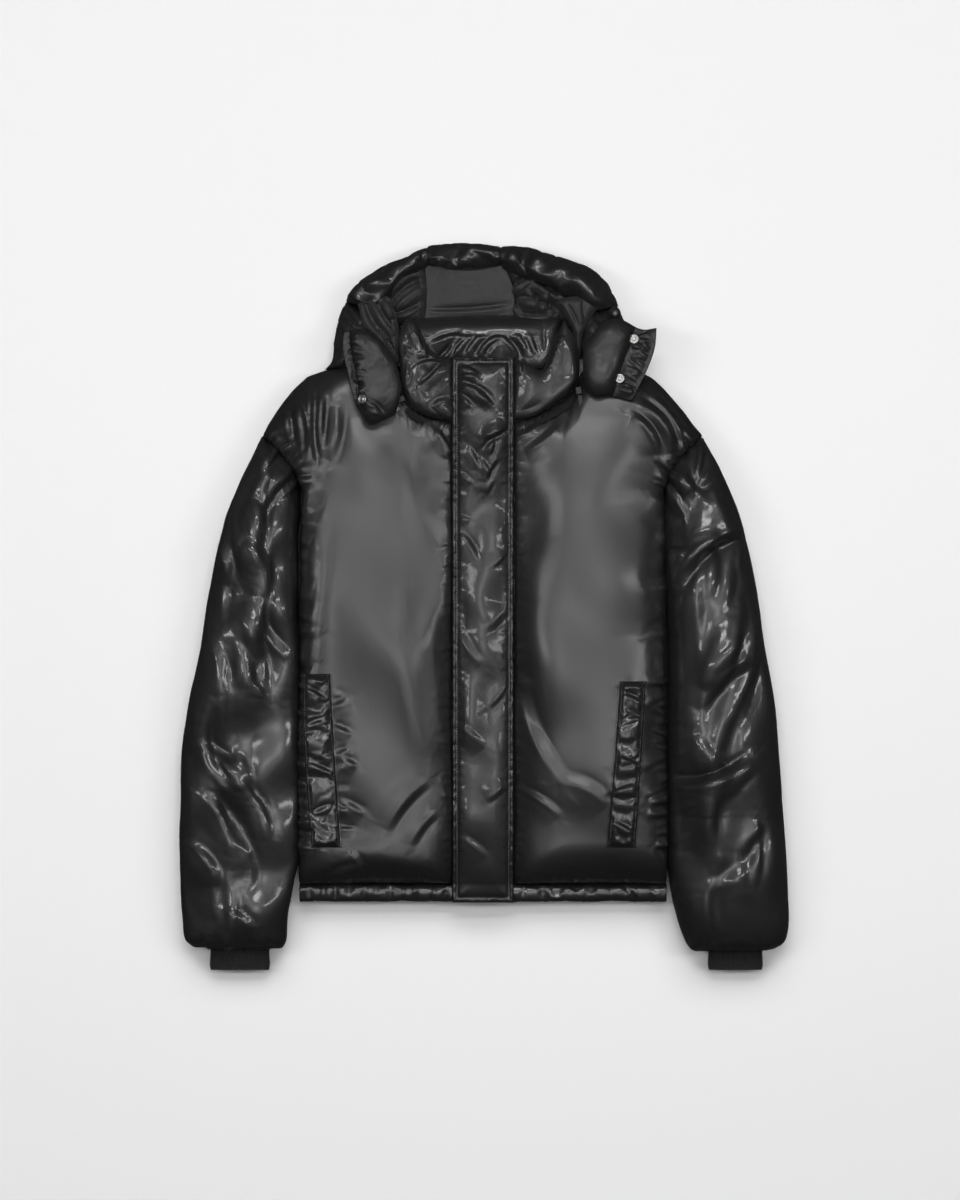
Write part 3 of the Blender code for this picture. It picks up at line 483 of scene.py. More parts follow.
@dataclass(frozen=True)
class Loft:
    """How padding presses cloth out: the settings of Blender's cloth, stepped and read back."""

    pressure: float = 3.0
    spare: float = 0.03
    bending: float = 0.1
    tension: float = 15.0
    frames: int = 18
    limit: float = 0.014
    crumple: float = 1.0
    seam_crumple: float = 1.0
    reach: int = 6

    def settle(
        self,
        cloth: ClothGrid,
        pinned: Array,
        stretch: tuple[float, float] = (1.0, 1.0),
        crumple: Array | None = None,
    ) -> ClothGrid:
        """Runs the cloth out to rest, caps how far each point has moved and smooths its small wrinkles.

        Args:
            cloth: the grid to start from.
            pinned: which of its points hold still.
            stretch: the cut's own size along X and Y, as shares of the grid's, for fullness one way.
            crumple: the share of small wrinkles kept at each point, in place of the same share all over.

        Returns:
            The settled grid.
        """
        start = cloth.points.reshape(-1, 3)
        mesh = bpy.data.meshes.new("loft")
        mesh.from_pydata(start.tolist(), [], cloth.faces())
        body = added("loft", mesh)
        body.vertex_groups.new(name="seams").add(np.flatnonzero(pinned.ravel()).tolist(), 1.0, "REPLACE")
        modifier = body.modifiers.new("loft", "CLOTH")
        settings = modifier.settings
        if stretch != (1.0, 1.0):
            body.shape_key_add(name="laid")
            cut = body.shape_key_add(name="cut")
            middle = start.mean(axis=0)
            grown = middle + (start - middle) * np.array([*stretch, 1.0])
            cut.data.foreach_set("co", grown.astype(np.float32).ravel())
            settings.rest_shape_key = cut
        settings.quality = 5
        settings.mass = 0.3
        settings.tension_stiffness = settings.compression_stiffness = self.tension
        settings.shear_stiffness = 0.4 * self.tension
        settings.bending_stiffness = self.bending
        settings.use_pressure = True
        settings.uniform_pressure_force = self.pressure
        settings.shrink_min = settings.shrink_max = -self.spare
        settings.vertex_group_mass = "seams"
        settings.effector_weights.gravity = 0.0
        modifier.collision_settings.use_collision = False
        modifier.point_cache.frame_start = 1
        modifier.point_cache.frame_end = self.frames
        for number in range(1, self.frames + 1):
            bpy.context.scene.frame_set(number)
        shaped = body.evaluated_get(bpy.context.evaluated_depsgraph_get()).to_mesh()
        settled = np.empty(len(start) * 3, np.float32)
        shaped.vertices.foreach_get("co", settled)
        moved = settled.reshape(-1, 3) - start
        length = np.linalg.norm(moved, axis=1, keepdims=True)
        moved *= np.minimum(1.0, self.limit * np.tanh(length / self.limit) / np.maximum(length, 1e-9))
        bpy.data.objects.remove(body)
        bpy.data.meshes.remove(mesh)
        bpy.context.scene.frame_set(1)
        moved = moved.reshape(cloth.points.shape)
        broad = smoothed(moved, 40, cloth.wraps)
        near = pinned.astype(float)
        for _ in range(self.reach):
            near = np.maximum(pinned, smoothed(near, 1, cloth.wraps))
        inner = self.crumple if crumple is None else crumple
        kept = np.where(pinned, 1.0, inner + (self.seam_crumple - inner) * near)[..., None]
        return ClothGrid(cloth.points + broad + kept * (moved - broad), cloth.wraps)


def closed_pad(upper: ClothGrid, lower: ClothGrid) -> Skin:
    """One closed skin from a fine upper face and a lower face with half as many steps each way.

    Args:
        upper: the finer grid.
        lower: the coarser grid, whose rim lies under every second rim point of the upper one.

    Returns:
        Points and faces, turned outwards.
    """
    rows, columns = lower.points.shape[:2]
    fine_rows, fine_columns = upper.points.shape[:2]
    fine = np.arange(fine_rows * fine_columns).reshape(fine_rows, fine_columns)
    coarse = fine.size + np.arange(rows * columns).reshape(rows, columns)
    faces = upper.faces() + [tuple(fine.size + k for k in reversed(quad)) for quad in lower.faces()]
    outer = [*fine[0, :-1], *fine[:-1, -1], *fine[-1, :0:-1], *fine[:0:-1, 0]]
    inner = [*coarse[0, :-1], *coarse[:-1, -1], *coarse[-1, :0:-1], *coarse[:0:-1, 0]]
    for k, below in enumerate(inner):
        after = inner[(k + 1) % len(inner)]
        first, middle, last = (outer[(2 * k + step) % len(outer)] for step in range(3))
        faces.append((first, below, after, last, middle))
    points = np.vstack([upper.points.reshape(-1, 3), lower.points.reshape(-1, 3)])
    return points, [tuple(int(k) for k in face) for face in faces]


def closed_roll(skin: ClothGrid) -> Skin:
    """A wrapped grid with its two ends closed on a middle point."""
    rows, columns = skin.points.shape[:2]
    points = skin.points.reshape(-1, 3)
    faces = skin.faces()
    ends = np.array([skin.points[0].mean(axis=0), skin.points[-1].mean(axis=0)])
    last = (rows - 1) * columns
    for k in range(columns):
        after = (k + 1) % columns
        faces.append((after, k, rows * columns))
        faces.append((last + k, last + after, rows * columns + 1))
    return np.vstack([points, ends]), faces


def walled_tube(outer: ClothGrid, inner: ClothGrid) -> Skin:
    """A wall between two wrapped grids with the same columns, open right through."""
    rows, columns = outer.points.shape[:2]
    inner_rows = inner.points.shape[0]
    start = rows * columns
    faces = outer.faces() + [tuple(start + k for k in reversed(quad)) for quad in inner.faces()]
    for k in range(columns):
        after = (k + 1) % columns
        faces.append((after, k, start + k, start + after))
        top, below = (rows - 1) * columns, start + (inner_rows - 1) * columns
        faces.append((top + k, top + after, below + after, below + k))
    return np.vstack([outer.points.reshape(-1, 3), inner.points.reshape(-1, 3)]), faces


# ------------------------ finishes


class Level:
    """A number in a shader that Python's operators build Math nodes on."""

    def __init__(self, shader: Dye, socket: bpy.types.NodeSocket) -> None:
        """Wraps a socket of a shader that is being built."""
        self.shader = shader
        self.socket = socket

    def _maths(self, operation: str, *operands: object) -> Level:
        """A Math node on some operands."""
        made = self.shader.node("ShaderNodeMath", {"operation": operation}, dict(enumerate(operands)))
        return Level(self.shader, made.outputs[0])

    def __add__(self, other: object) -> Level:
        """Sum."""
        return self._maths("ADD", self, other)

    __radd__ = __add__

    def __sub__(self, other: object) -> Level:
        """Difference."""
        return self._maths("SUBTRACT", self, other)

    def __rsub__(self, other: object) -> Level:
        """Reflected difference."""
        return self._maths("SUBTRACT", other, self)

    def __mul__(self, other: object) -> Level:
        """Product."""
        return self._maths("MULTIPLY", self, other)

    __rmul__ = __mul__

    def wave(self) -> Level:
        """Sine."""
        return self._maths("SINE", self)

    def size(self) -> Level:
        """Distance from nought."""
        return self._maths("ABSOLUTE", self)


class Dye:
    """A Principled material being built from nodes."""

    def __init__(self, name: str) -> None:
        """Starts a material of that name with only its shader and output."""
        self.material = bpy.data.materials.new(name)
        self.material.use_nodes = True
        self.tree = self.material.node_tree
        self.principled = self.tree.nodes["Principled BSDF"]

    def node(
        self, kind: str, settings: dict[str, object], sockets: dict[int | str, object]
    ) -> bpy.types.Node:
        """Adds a node.

        Args:
            kind: the node's type name.
            settings: its own properties, set first.
            sockets: values or links for its inputs, by number or name.

        Returns:
            The node.
        """
        made = self.tree.nodes.new(kind)
        for key, value in settings.items():
            setattr(made, key, value)
        for key, value in sockets.items():
            if isinstance(value, Level):
                value = value.socket
            if isinstance(value, bpy.types.NodeSocket):
                self.tree.links.new(value, made.inputs[key])
            else:
                made.inputs[key].default_value = value
        return made

    def place(self, scale: Triple = (1.0, 1.0, 1.0), turn: float = 0.0) -> bpy.types.NodeSocket:
        """Object coordinates, scaled and turned about Z."""
        where = self.node("ShaderNodeTexCoord", {}, {}).outputs["Object"]
        sockets = {"Vector": where, "Rotation": (0, 0, turn), "Scale": scale}
        return self.node("ShaderNodeMapping", {}, sockets).outputs[0]

    def noise(
        self,
        scale: float,
        detail: float = 2.0,
        stretch: Triple = (1, 1, 1),
        turn: float = 0.0,
        warp: float = 0.0,
    ) -> Level:
        """Noise over the surface, about 0 to 1."""
        where = self.place(stretch, turn)
        sockets = {"Vector": where, "Scale": scale, "Detail": detail, "Distortion": warp}
        return Level(self, self.node("ShaderNodeTexNoise", {}, sockets).outputs["Fac"])

    def weave(self, pitch: float) -> Level:
        """A plain weave of that thread pitch, 0 in its hollows and 1 on its threads."""
        parts = self.node("ShaderNodeSeparateXYZ", {}, {0: self.place()})
        number = 2 * math.pi / pitch
        warp = (Level(self, parts.outputs[0]) * number).wave()
        weft = (Level(self, parts.outputs[1]) * number).wave()
        return warp * weft * 0.5 + 0.5

    def set(self, **values: object) -> Dye:
        """Sets or links sockets of the shader, named with underscores for spaces."""
        for key, value in values.items():
            socket = self.principled.inputs[key.replace("_", " ")]
            if isinstance(value, Level):
                self.tree.links.new(value.socket, socket)
            else:
                socket.default_value = value
        return self

    def shade(self, amount: Level, dark: Triple, light: Triple) -> Dye:
        """Links the base colour to a mix from dark to light by an amount."""
        colours = {0: amount, 6: (*dark, 1.0), 7: (*light, 1.0)}
        mix = self.node("ShaderNodeMix", {"data_type": "RGBA"}, colours)
        self.tree.links.new(mix.outputs[2], self.principled.inputs["Base Color"])
        return self

    def bump(self, height: Level, depth: float) -> Dye:
        """Links the normal to a bump of that depth in metres."""
        made = self.node("ShaderNodeBump", {}, {"Strength": 1.0, "Distance": depth, "Height": height})
        self.tree.links.new(made.outputs[0], self.principled.inputs["Normal"])
        return self


@dataclass(frozen=True)
class CoatedNylon:
    """Black glossy coated nylon: a fine weave under a film, with small dents and duller patches."""

    name: str = "coated_nylon"
    gloss: tuple[float, float] = (0.42, 0.54)
    film: float = 0.58
    film_roughness: float = 0.15
    dark: Triple = (0.0060, 0.0060, 0.0066)
    light: Triple = (0.0120, 0.0120, 0.0128)
    crinkle: float = 0.00040

    def material(self) -> bpy.types.Material:
        """The finish as a material."""
        dye = Dye(self.name)
        cloud = dye.noise(9.0, 3.0, warp=0.4)
        dents = dye.noise(38.0, 3.0, warp=1.2)
        creases = (dye.noise(62.0, 2.0, stretch=(1.0, 0.45, 1.0), turn=0.5, warp=0.8) - 0.5).size() * 2.0
        streaks = dye.noise(110.0, 2.0, stretch=(1.0, 0.16, 1.0), turn=0.25, warp=0.3)
        weave = dye.weave(0.00042)
        low, high = self.gloss
        dye.shade(cloud, self.dark, self.light)
        film = cloud * (0.7 * self.film) + 0.65 * self.film
        dye.set(Roughness=cloud * (high - low) + low, Coat_Weight=film, Coat_Roughness=self.film_roughness)
        dye.set(IOR=1.50)
        dye.bump(dents * 0.50 + creases * 0.40 + streaks * 0.18 + weave * 0.045, self.crinkle)
        return dye.material


@dataclass(frozen=True)
class PlainLining:
    """Black lining: a plain weave, nearly matte, with soft marks where it has been creased."""

    name: str = "plain_lining"

    def material(self) -> bpy.types.Material:
        """The finish as a material."""
        dye = Dye(self.name)
        cloud = dye.noise(14.0, 3.0, warp=0.6)
        creases = (dye.noise(48.0, 2.0, warp=1.0) - 0.5).size() * 2.0
        dye.shade(cloud, (0.012, 0.012, 0.013), (0.020, 0.020, 0.022))
        dye.set(Roughness=cloud * 0.10 + 0.40, Sheen_Weight=0.06, Sheen_Roughness=0.5, IOR=1.50)
        dye.bump(creases * 0.5 + dye.weave(0.0006) * 0.10, 0.0009)
        return dye.material


@dataclass(frozen=True)
class RibKnit:
    """Black rib knit: loops along ribs that are in the mesh, matte with a soft sheen."""

    name: str = "rib_knit"

    def material(self) -> bpy.types.Material:
        """The finish as a material."""
        dye = Dye(self.name)
        loops = dye.weave(0.0011)
        fuzz = dye.noise(700.0, 3.0)
        dye.shade(fuzz, (0.0045, 0.0045, 0.0048), (0.012, 0.012, 0.0125))
        dye.set(Roughness=fuzz * 0.1 + 0.86, Sheen_Weight=0.15, Sheen_Roughness=0.5, IOR=1.45)
        dye.bump(loops * 0.7 + fuzz * 0.5, 0.0005)
        return dye.material


@dataclass(frozen=True)
class Twill:
    """A plain dark finish for thread and zip tape, ribbed finely."""

    name: str
    colour: Triple
    roughness: float
    pitch: float

    def material(self) -> bpy.types.Material:
        """The finish as a material."""
        dye = Dye(self.name)
        strands = dye.weave(self.pitch)
        wear = dye.noise(160.0, 2.0)
        lighter = tuple(1.6 * channel for channel in self.colour)
        dye.shade(wear, self.colour, lighter)
        dye.set(Roughness=wear * 0.15 + self.roughness, IOR=1.45)
        dye.bump(strands, 0.0002)
        return dye.material


@dataclass(frozen=True)
class WornMetal:
    """A metal or painted metal finish with fine scratches."""

    name: str
    colour: Triple
    roughness: float
    metallic: float

    def material(self) -> bpy.types.Material:
        """The finish as a material."""
        dye = Dye(self.name)
        scratches = dye.noise(900.0, 3.0, stretch=(1.0, 0.15, 1.0), turn=0.6)
        dulled = tuple(0.75 * channel for channel in self.colour)
        dye.shade(scratches, dulled, self.colour)
        dye.set(Roughness=scratches * 0.14 + self.roughness, Metallic=self.metallic)
        dye.bump(scratches, 0.00008)
        return dye.material


@dataclass(frozen=True)
class StudioPaper:
    """Smooth pale paper for the floor."""

    name: str = "studio_paper"
    tone: float = 0.90

    def material(self) -> bpy.types.Material:
        """The finish as a material."""
        dye = Dye(self.name)
        dye.set(Base_Color=(self.tone, self.tone, self.tone, 1.0), Roughness=0.95, Specular_IOR_Level=0.0)
        return dye.material


class Finishes:
    """Every finish of the jacket, each made once."""

    def __init__(self) -> None:
        """Makes the materials."""
        self.shell = CoatedNylon().material()
        self.front = CoatedNylon("coated_nylon_front", film=0.50, film_roughness=0.26).material()
        self.storm = CoatedNylon("coated_nylon_flap", (0.44, 0.54), 0.30, 0.13).material()
        self.neck = CoatedNylon("coated_nylon_neck", (0.48, 0.58), 0.30, 0.10).material()
        self.dull = CoatedNylon("coated_nylon_dull", (0.48, 0.58), 0.14, 0.22).material()
        self.lining = PlainLining().material()
        self.rib = RibKnit().material()
        # The thread's grey is partly its own tone and partly a painted highlight: it is lighter than black
        # thread so that the stitch lines show the glints of their puckers.
        self.thread = Twill("sewing_thread", (0.120, 0.120, 0.122), 0.42, 0.0006).material()
        self.tape = Twill("zip_tape", (0.004, 0.004, 0.004), 0.75, 0.0008).material()
        self.painted = WornMetal("painted_metal", (0.008, 0.008, 0.009), 0.34, 0.4).material()
        self.steel = WornMetal("polished_steel", (0.42, 0.42, 0.41), 0.26, 1.0).material()


# ------------------------ making pieces


class Maker:
    """Adds finished pieces to the scene, hangs each on its body and hides the frame's nodes that it stands
    for.
    """

    def __init__(self, finishes: Finishes) -> None:
        """Keeps the finishes that pieces are dressed in."""
        self.finishes = finishes
        self.skins: dict[str, BVHTree] = {}

    def piece(
        self,
        name: str,
        skin: Skin,
        material: bpy.types.Material,
        slot: str,
        replaces: Sequence[str] = (),
        body: str = "jacket",
    ) -> bpy.types.Object:
        """Makes one piece from points and faces.

        Args:
            name: the piece's name.
            skin: its points and faces.
            material: its finish.
            slot: not used.
            replaces: the frame's nodes that it stands for.
            body: the body that it rides on.

        Returns:
            The piece.
        """
        points, faces = skin
        mesh = bpy.data.meshes.new(name)
        mesh.from_pydata(points.tolist(), [], faces)
        shape = bmesh.new()
        shape.from_mesh(mesh)
        bmesh.ops.recalc_face_normals(shape, faces=shape.faces)
        shape.to_mesh(mesh)
        shape.free()
        mesh.shade_smooth()
        mesh.materials.append(material)
        made = added(name, mesh)
        self.skins[name] = BVHTree.FromPolygons(points.tolist(), faces)
        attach(made, body)
        if replaces:
            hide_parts(*replaces)
        LOG.info("%s: %d points, %d faces", name, len(points), len(faces))
        return made

    def pad(self, name: str, skin: Skin, finish: str, node: str, fill: float) -> None:
        """Args:
            name: the piece's name.
            skin: its points and faces.
            finish: which of the finishes it wears.
            node: the frame's node that it stands for, if any.
            fill: not used.
        """
        slot = "lining_nylon" if finish == "lining" else "shell_nylon"
        material: bpy.types.Material = getattr(self.finishes, finish)
        self.piece(name, skin, material, slot, [node] if node else [])

    def height(self, name: str, x: float, y: float) -> float:
        """Height of a piece's upper side at a plan position, or 0 beside it."""
        hit = self.skins[name].ray_cast(Vector((x, y, 1.0)), Vector((0, 0, -1)))
        return 0.0 if hit[0] is None else hit[0].z


# ------------------------ body


@dataclass
class Body:
    """Back, two fronts and the hem channel."""

    maker: Maker
    hem_seam_y: float = HEM_SEAM_Y
    hem_y: float = HEM_Y
    front_edge_x: float = 0.017
    lap_x: float = 0.028
    seat_edge_x: float = 0.0395
    loft: float = 0.090
    shoulder_loft: float = 0.077
    slope_y: float = -0.08
    slope_length: float = 0.36
    centre_reach: float = 0.070
    hem_reach: float = 0.060
    top_reach: float = 0.052
    back_loft: float = 0.036
    back_reach: float = 0.045
    side_z: float = 0.031
    armhole_z: float = 0.049
    crown: float = 0.006
    flank_reach: float = 0.046
    fullness: float = 3.6
    hem_z: float = 0.033
    top_heights: Run = run(100, 58, 135, 46, 165, 36, 260, 36, 283, 34)
    seam: float = 0.003
    swell_pitch: float = 0.15
    swell_rise: float = 0.0032
    columns: int = 70
    rows: int = 172
    front_top: dict[Side, Run] = field(
        default_factory=lambda: {
            Side.RIGHT: run(17, 236, 42, 240, 70, 246, 88, 255, 99, 266, 106, 281, 112, 300, 122, 319,
                150, 322, 192, 311.5, 225, 300, 242, 284.5, 255, 269, 266, 253.5, 276, 238, 283.5, 223.5),
            Side.LEFT: run(17, 236, 42, 240, 66, 247, 87, 258, 105, 270, 119, 283, 126, 300, 134, 317,
                160, 319, 195, 309, 218, 297.5, 232, 284.5, 246, 269, 259, 253.5, 270, 238, 282.5, 223.5),
        }
    )
    side_run: dict[Side, Run] = field(
        default_factory=lambda: {
            Side.RIGHT: run(-352, 236.5, -200, 238, 0, 237, 110, 233, 150, 231.2, 175, 240, 200, 259,
                223.5, 283.5),
            Side.LEFT: run(-352, 236, -200, 237.5, 0, 236.5, 110, 233.5, 150, 231.6, 175, 240, 200,
                258.5, 223.5, 282.5),
        }
    )
    back_neck: Run = run(0, 296, 50, 298, 90, 306)

    def side_x(self, side: Side, y: Array) -> Array:
        """|x| of the side seam and armhole at y."""
        ys, xs = zip(*self.side_run[side])
        return np.interp(y, [*ys, ys[-1] + 0.02], [*xs, xs[-1] + 0.05])

    def top_y(self, side: Side, x: Array) -> Array:
        """y of the neck seam and shoulder line at |x|."""
        xs, ys = zip(*self.front_top[side])
        return np.interp(np.abs(x), xs, ys)

    def back_top_y(self, side: Side, x: Array) -> Array:
        """y of the back's neck seam and shoulder line at |x|."""
        xs, ys = zip(*self.back_neck, *[p for p in self.front_top[side] if p[0] > SHOULDER_FROM_X])
        return np.interp(np.abs(x), xs, ys)

    @staticmethod
    def seat(y: Array) -> Array:
        """Height of the seat that the storm flap lies on: low at the hem, level, and higher at the neck."""
        low = np.clip((y - HEM_SEAM_Y) / 0.10, 0, 1)
        high = np.clip((y - 0.12) / 0.16, 0, 1)
        return SEAT_Z + SEAT_RISE * (1 - (1 - low) ** 2) + NECK_RISE * high**2 * (3 - 2 * high)

    def _back_gaps(self, x: Array, y: Array) -> tuple[Array, Array, Array]:
        """How far each position is inside the back's sides, its hem seam and its top."""
        side = np.where(x < 0, self.side_x(Side.RIGHT, y), self.side_x(Side.LEFT, y)) - np.abs(x)
        top = np.where(x < 0, self.back_top_y(Side.RIGHT, x), self.back_top_y(Side.LEFT, x)) - y
        return side, y - self.hem_seam_y, top

    def back_inner(self, x: Array, y: Array) -> Array:
        """Height of the back panel's inner face."""
        side, hem, top = (ease(gap, self.back_reach) for gap in self._back_gaps(x, y))
        return self.back_loft - joined(0.0112 * side, 0.0230 * hem, 0.0118 * top)

    def back_outer(self, x: Array, y: Array) -> Array:
        """Height of the back panel's outer face, flat where it rests."""
        side, hem, top = self._back_gaps(x, y)
        rise = joined(0.0225 * ease(side, 0.030), 0.0095 * ease(hem, 0.020), 0.0220 * ease(top, 0.028))
        return np.minimum(rise, self.back_inner(x, y) - 0.0025)

    def flank_x(self, side: Side, y: Array, z: Array) -> Array:
        """|x| of the front's rounded flank at y, as high as z."""
        drop = np.clip((self.loft - z) / (self.loft - self.side_z), 0, 1)
        across = 1 - (1 - (1 - drop) ** self.fullness) ** (1 / self.fullness)
        return self.side_x(side, y) - self.flank_reach * across

    def front_outer(self, side: Side, x: Array, y: Array) -> Array:
        """Height of a front's outer face before its padding settles."""
        slope = np.clip((y - self.slope_y) / self.slope_length, 0, 1)
        full = self.loft - (self.loft - self.shoulder_loft) * slope**2 * (3 - 2 * slope)
        upper = np.interp(np.abs(x), *zip(*self.top_heights))
        side_heights = (self.side_z, self.armhole_z, self.armhole_z, 0.034)
        flank_z = np.interp(y, (-0.04, 0.165, 0.205, 0.2235), side_heights)
        centre = ease(np.abs(x) - self.seat_edge_x, self.centre_reach, 2.2)
        seam_gap = away([(place, high) for high, place in self.side_run[side]], np.abs(x), y)
        flank = ease(seam_gap, self.flank_reach, self.fullness)
        across = np.clip((np.abs(x) - self.seat_edge_x) / (self.side_x(side, y) - self.seat_edge_x), 0, 1)
        full = full + self.crown * (np.sin(math.pi * across**1.35) - 0.75)
        hem = ease(y - self.hem_seam_y, self.hem_reach)
        top = ease(self.top_y(side, x) - y, self.top_reach)
        puffed = full - joined(
            (full - self.seat(np.minimum(y, 0.18)) + UNDER_FLAP) * centre,
            (full - flank_z) * flank,
            (full - self.hem_z) * hem,
            (full - upper) * top,
        )
        under = np.abs(x) < self.seat_edge_x
        return np.where(under, np.minimum(puffed, self.seat(y) - UNDER_FLAP), puffed)

    def front_plan(self, side: Side) -> Array:
        """Plan grid of a front."""
        sign = side.value
        ys, xs = zip(*self.side_run[side])
        lap = [self.front_edge_x, self.lap_x]
        low_x = np.concatenate([lap, self._columns(self.seat_edge_x, xs[0])])
        neck = self.front_top[side][-1][0]
        high_x = np.concatenate([lap, self._columns(self.seat_edge_x, neck)])
        low = np.column_stack([sign * low_x, np.full_like(low_x, self.hem_seam_y)])
        high = np.column_stack([sign * high_x, self.top_y(side, high_x)])
        rows = seam_spaced(self.rows, 0.45)
        first = through([tuple(low[0]), (low[0][0], 0.0), tuple(high[0])], rows)
        plan = spanned(low, high, first, through([(sign * x, y) for x, y in zip(xs, ys)], rows))
        plan[:, 1:3, 0] = sign * np.array((self.lap_x, self.seat_edge_x))
        return plan

    def _columns(self, start: float, stop: float) -> Array:
        """Columns across a front, crowded towards its two seams."""
        return start + (stop - start) * seam_spaced(self.columns, 0.55)

    def make(self, creases: dict[Side, Sequence[Fold]]) -> None:
        """Makes the back, the fronts and the hem channel."""
        for side in Side:
            self._make_front(side, creases[side])
        self._make_back()
        self._make_hem()

    def _make_front(self, side: Side, creases: Sequence[Fold]) -> None:
        """Makes one front: its outer face settles under pressure between its seams and takes its folds."""
        plan = self.front_plan(side)
        x, y = plan[..., 0], plan[..., 1]
        upper = self.front_outer(side, x, y)
        swell = ripples(x, y, self.swell_pitch, 11 + int(side.value))
        room = np.clip((upper - 0.05) / 0.035, 0, 1)
        upper = upper + self.swell_rise * swell * room
        pinned = np.zeros(x.shape, bool)
        pinned[[0, -1], :] = True
        pinned[:, [0, 1, 2, -1]] = True
        cloth = laid(x, y, upper)
        creased = cloth.creased(creases, 0.6, inside(x.shape))
        fine = FRONT_LOFT.settle(creased, pinned).refined().creased(creases, 0.5)
        lower = np.minimum(self.back_inner(x, y) + 0.0015, upper - self.seam)
        rim = ~inside(x.shape)
        lower[rim] = (upper - self.seam)[rim]
        skin = closed_pad(fine, laid(x, y, lower))
        self.maker.pad(f"front_panel_{side.word}", skin, "front", f"front_{side.word}", 0.7)

    def _make_back(self) -> None:
        """Makes the back panel, which shows at its sides, its neck and underneath."""
        shoulders = {
            s: [(s.value * x, y) for x, y in self.front_top[s] if x > SHOULDER_FROM_X] for s in Side
        }
        neck = [(-x, y) for x, y in self.back_neck[:0:-1]] + list(self.back_neck)
        outline = {s: [(s.value * x, y) for y, x in self.side_run[s]] for s in Side}
        lower_edge = [outline[Side.RIGHT][0], (0.0, self.hem_seam_y), outline[Side.LEFT][0]]
        upper_edge = shoulders[Side.RIGHT][::-1] + neck + shoulders[Side.LEFT]
        plan = patch((lower_edge, upper_edge, outline[Side.RIGHT], outline[Side.LEFT]), 49, 61, 0.5)
        x, y = plan[..., 0], plan[..., 1]
        fine = laid(x, y, self.back_inner(x, y)).refined()
        wrinkle = 0.0006 * ripples(x, y, 0.030, 5) * np.clip(self.back_outer(x, y) / 0.006, 0, 1)
        bottom = laid(x, y, np.clip(self.back_outer(x, y) + wrinkle, 0, None))
        skin = closed_pad(fine, bottom)
        self.maker.pad("back_panel_cloth", skin, "shell", "back_panel", 0.5)

    def _make_hem(self) -> None:
        """Makes the hem channel: a gathered roll in three lengths."""
        end = self.side_run[Side.RIGHT][0][1] - 0.0005
        spans = {
            "hem_back": (-end, end, 0.0088, 0.0088),
            "hem_right": (-end, -self.front_edge_x, 0.0270, 0.0105),
            "hem_left": (self.front_edge_x, end, 0.0270, 0.0105),
        }
        middle_y = (self.hem_seam_y + self.hem_y) / 2
        half = (self.hem_seam_y - self.hem_y) / 2
        for seed, (name, (start, stop, mid_z, rise)) in enumerate(spans.items()):
            count = max(40, int((stop - start) / (0.0065 if name == "hem_back" else 0.0032)))
            around = 22
            angle = turns(around)
            x = np.repeat(np.linspace(start, stop, count)[:, None], around, axis=1)
            beside = 0.5 * (middle_y + half * np.cos(angle))
            gather = np.clip(ripples(x, beside, 0.017, 40 + seed), 0, 1) ** 1.5
            flare = 1 + 0.03 * ripples(x, 0 * x, 0.05, 60 + seed)
            y = middle_y + half * flare * np.cos(angle)
            lift = np.where(np.sin(angle) > 0, rise - 0.0022 * gather, 0.80 * rise)
            z = mid_z + lift * np.sign(np.sin(angle)) * np.abs(np.sin(angle)) ** 0.75
            roll = laid(x, y, np.maximum(z, 0.0), True)
            pinned = np.repeat((np.sin(angle) < -0.2)[None], count, axis=0)
            pinned[[0, -1]] = True
            settled = Loft(3.0, 0.03, 0.05, limit=0.003, frames=12, crumple=0.45).settle(roll, pinned)
            self.maker.pad(f"{name}_channel", closed_roll(settled.refined()), "shell", name, 0.5)


def inside(shape: tuple[int, int]) -> Array:
    """Which points of a grid aren't on its rim."""
    mask = np.zeros(shape, bool)
    mask[1:-1, 1:-1] = True
    return mask


# ------------------------ storm flap and pockets


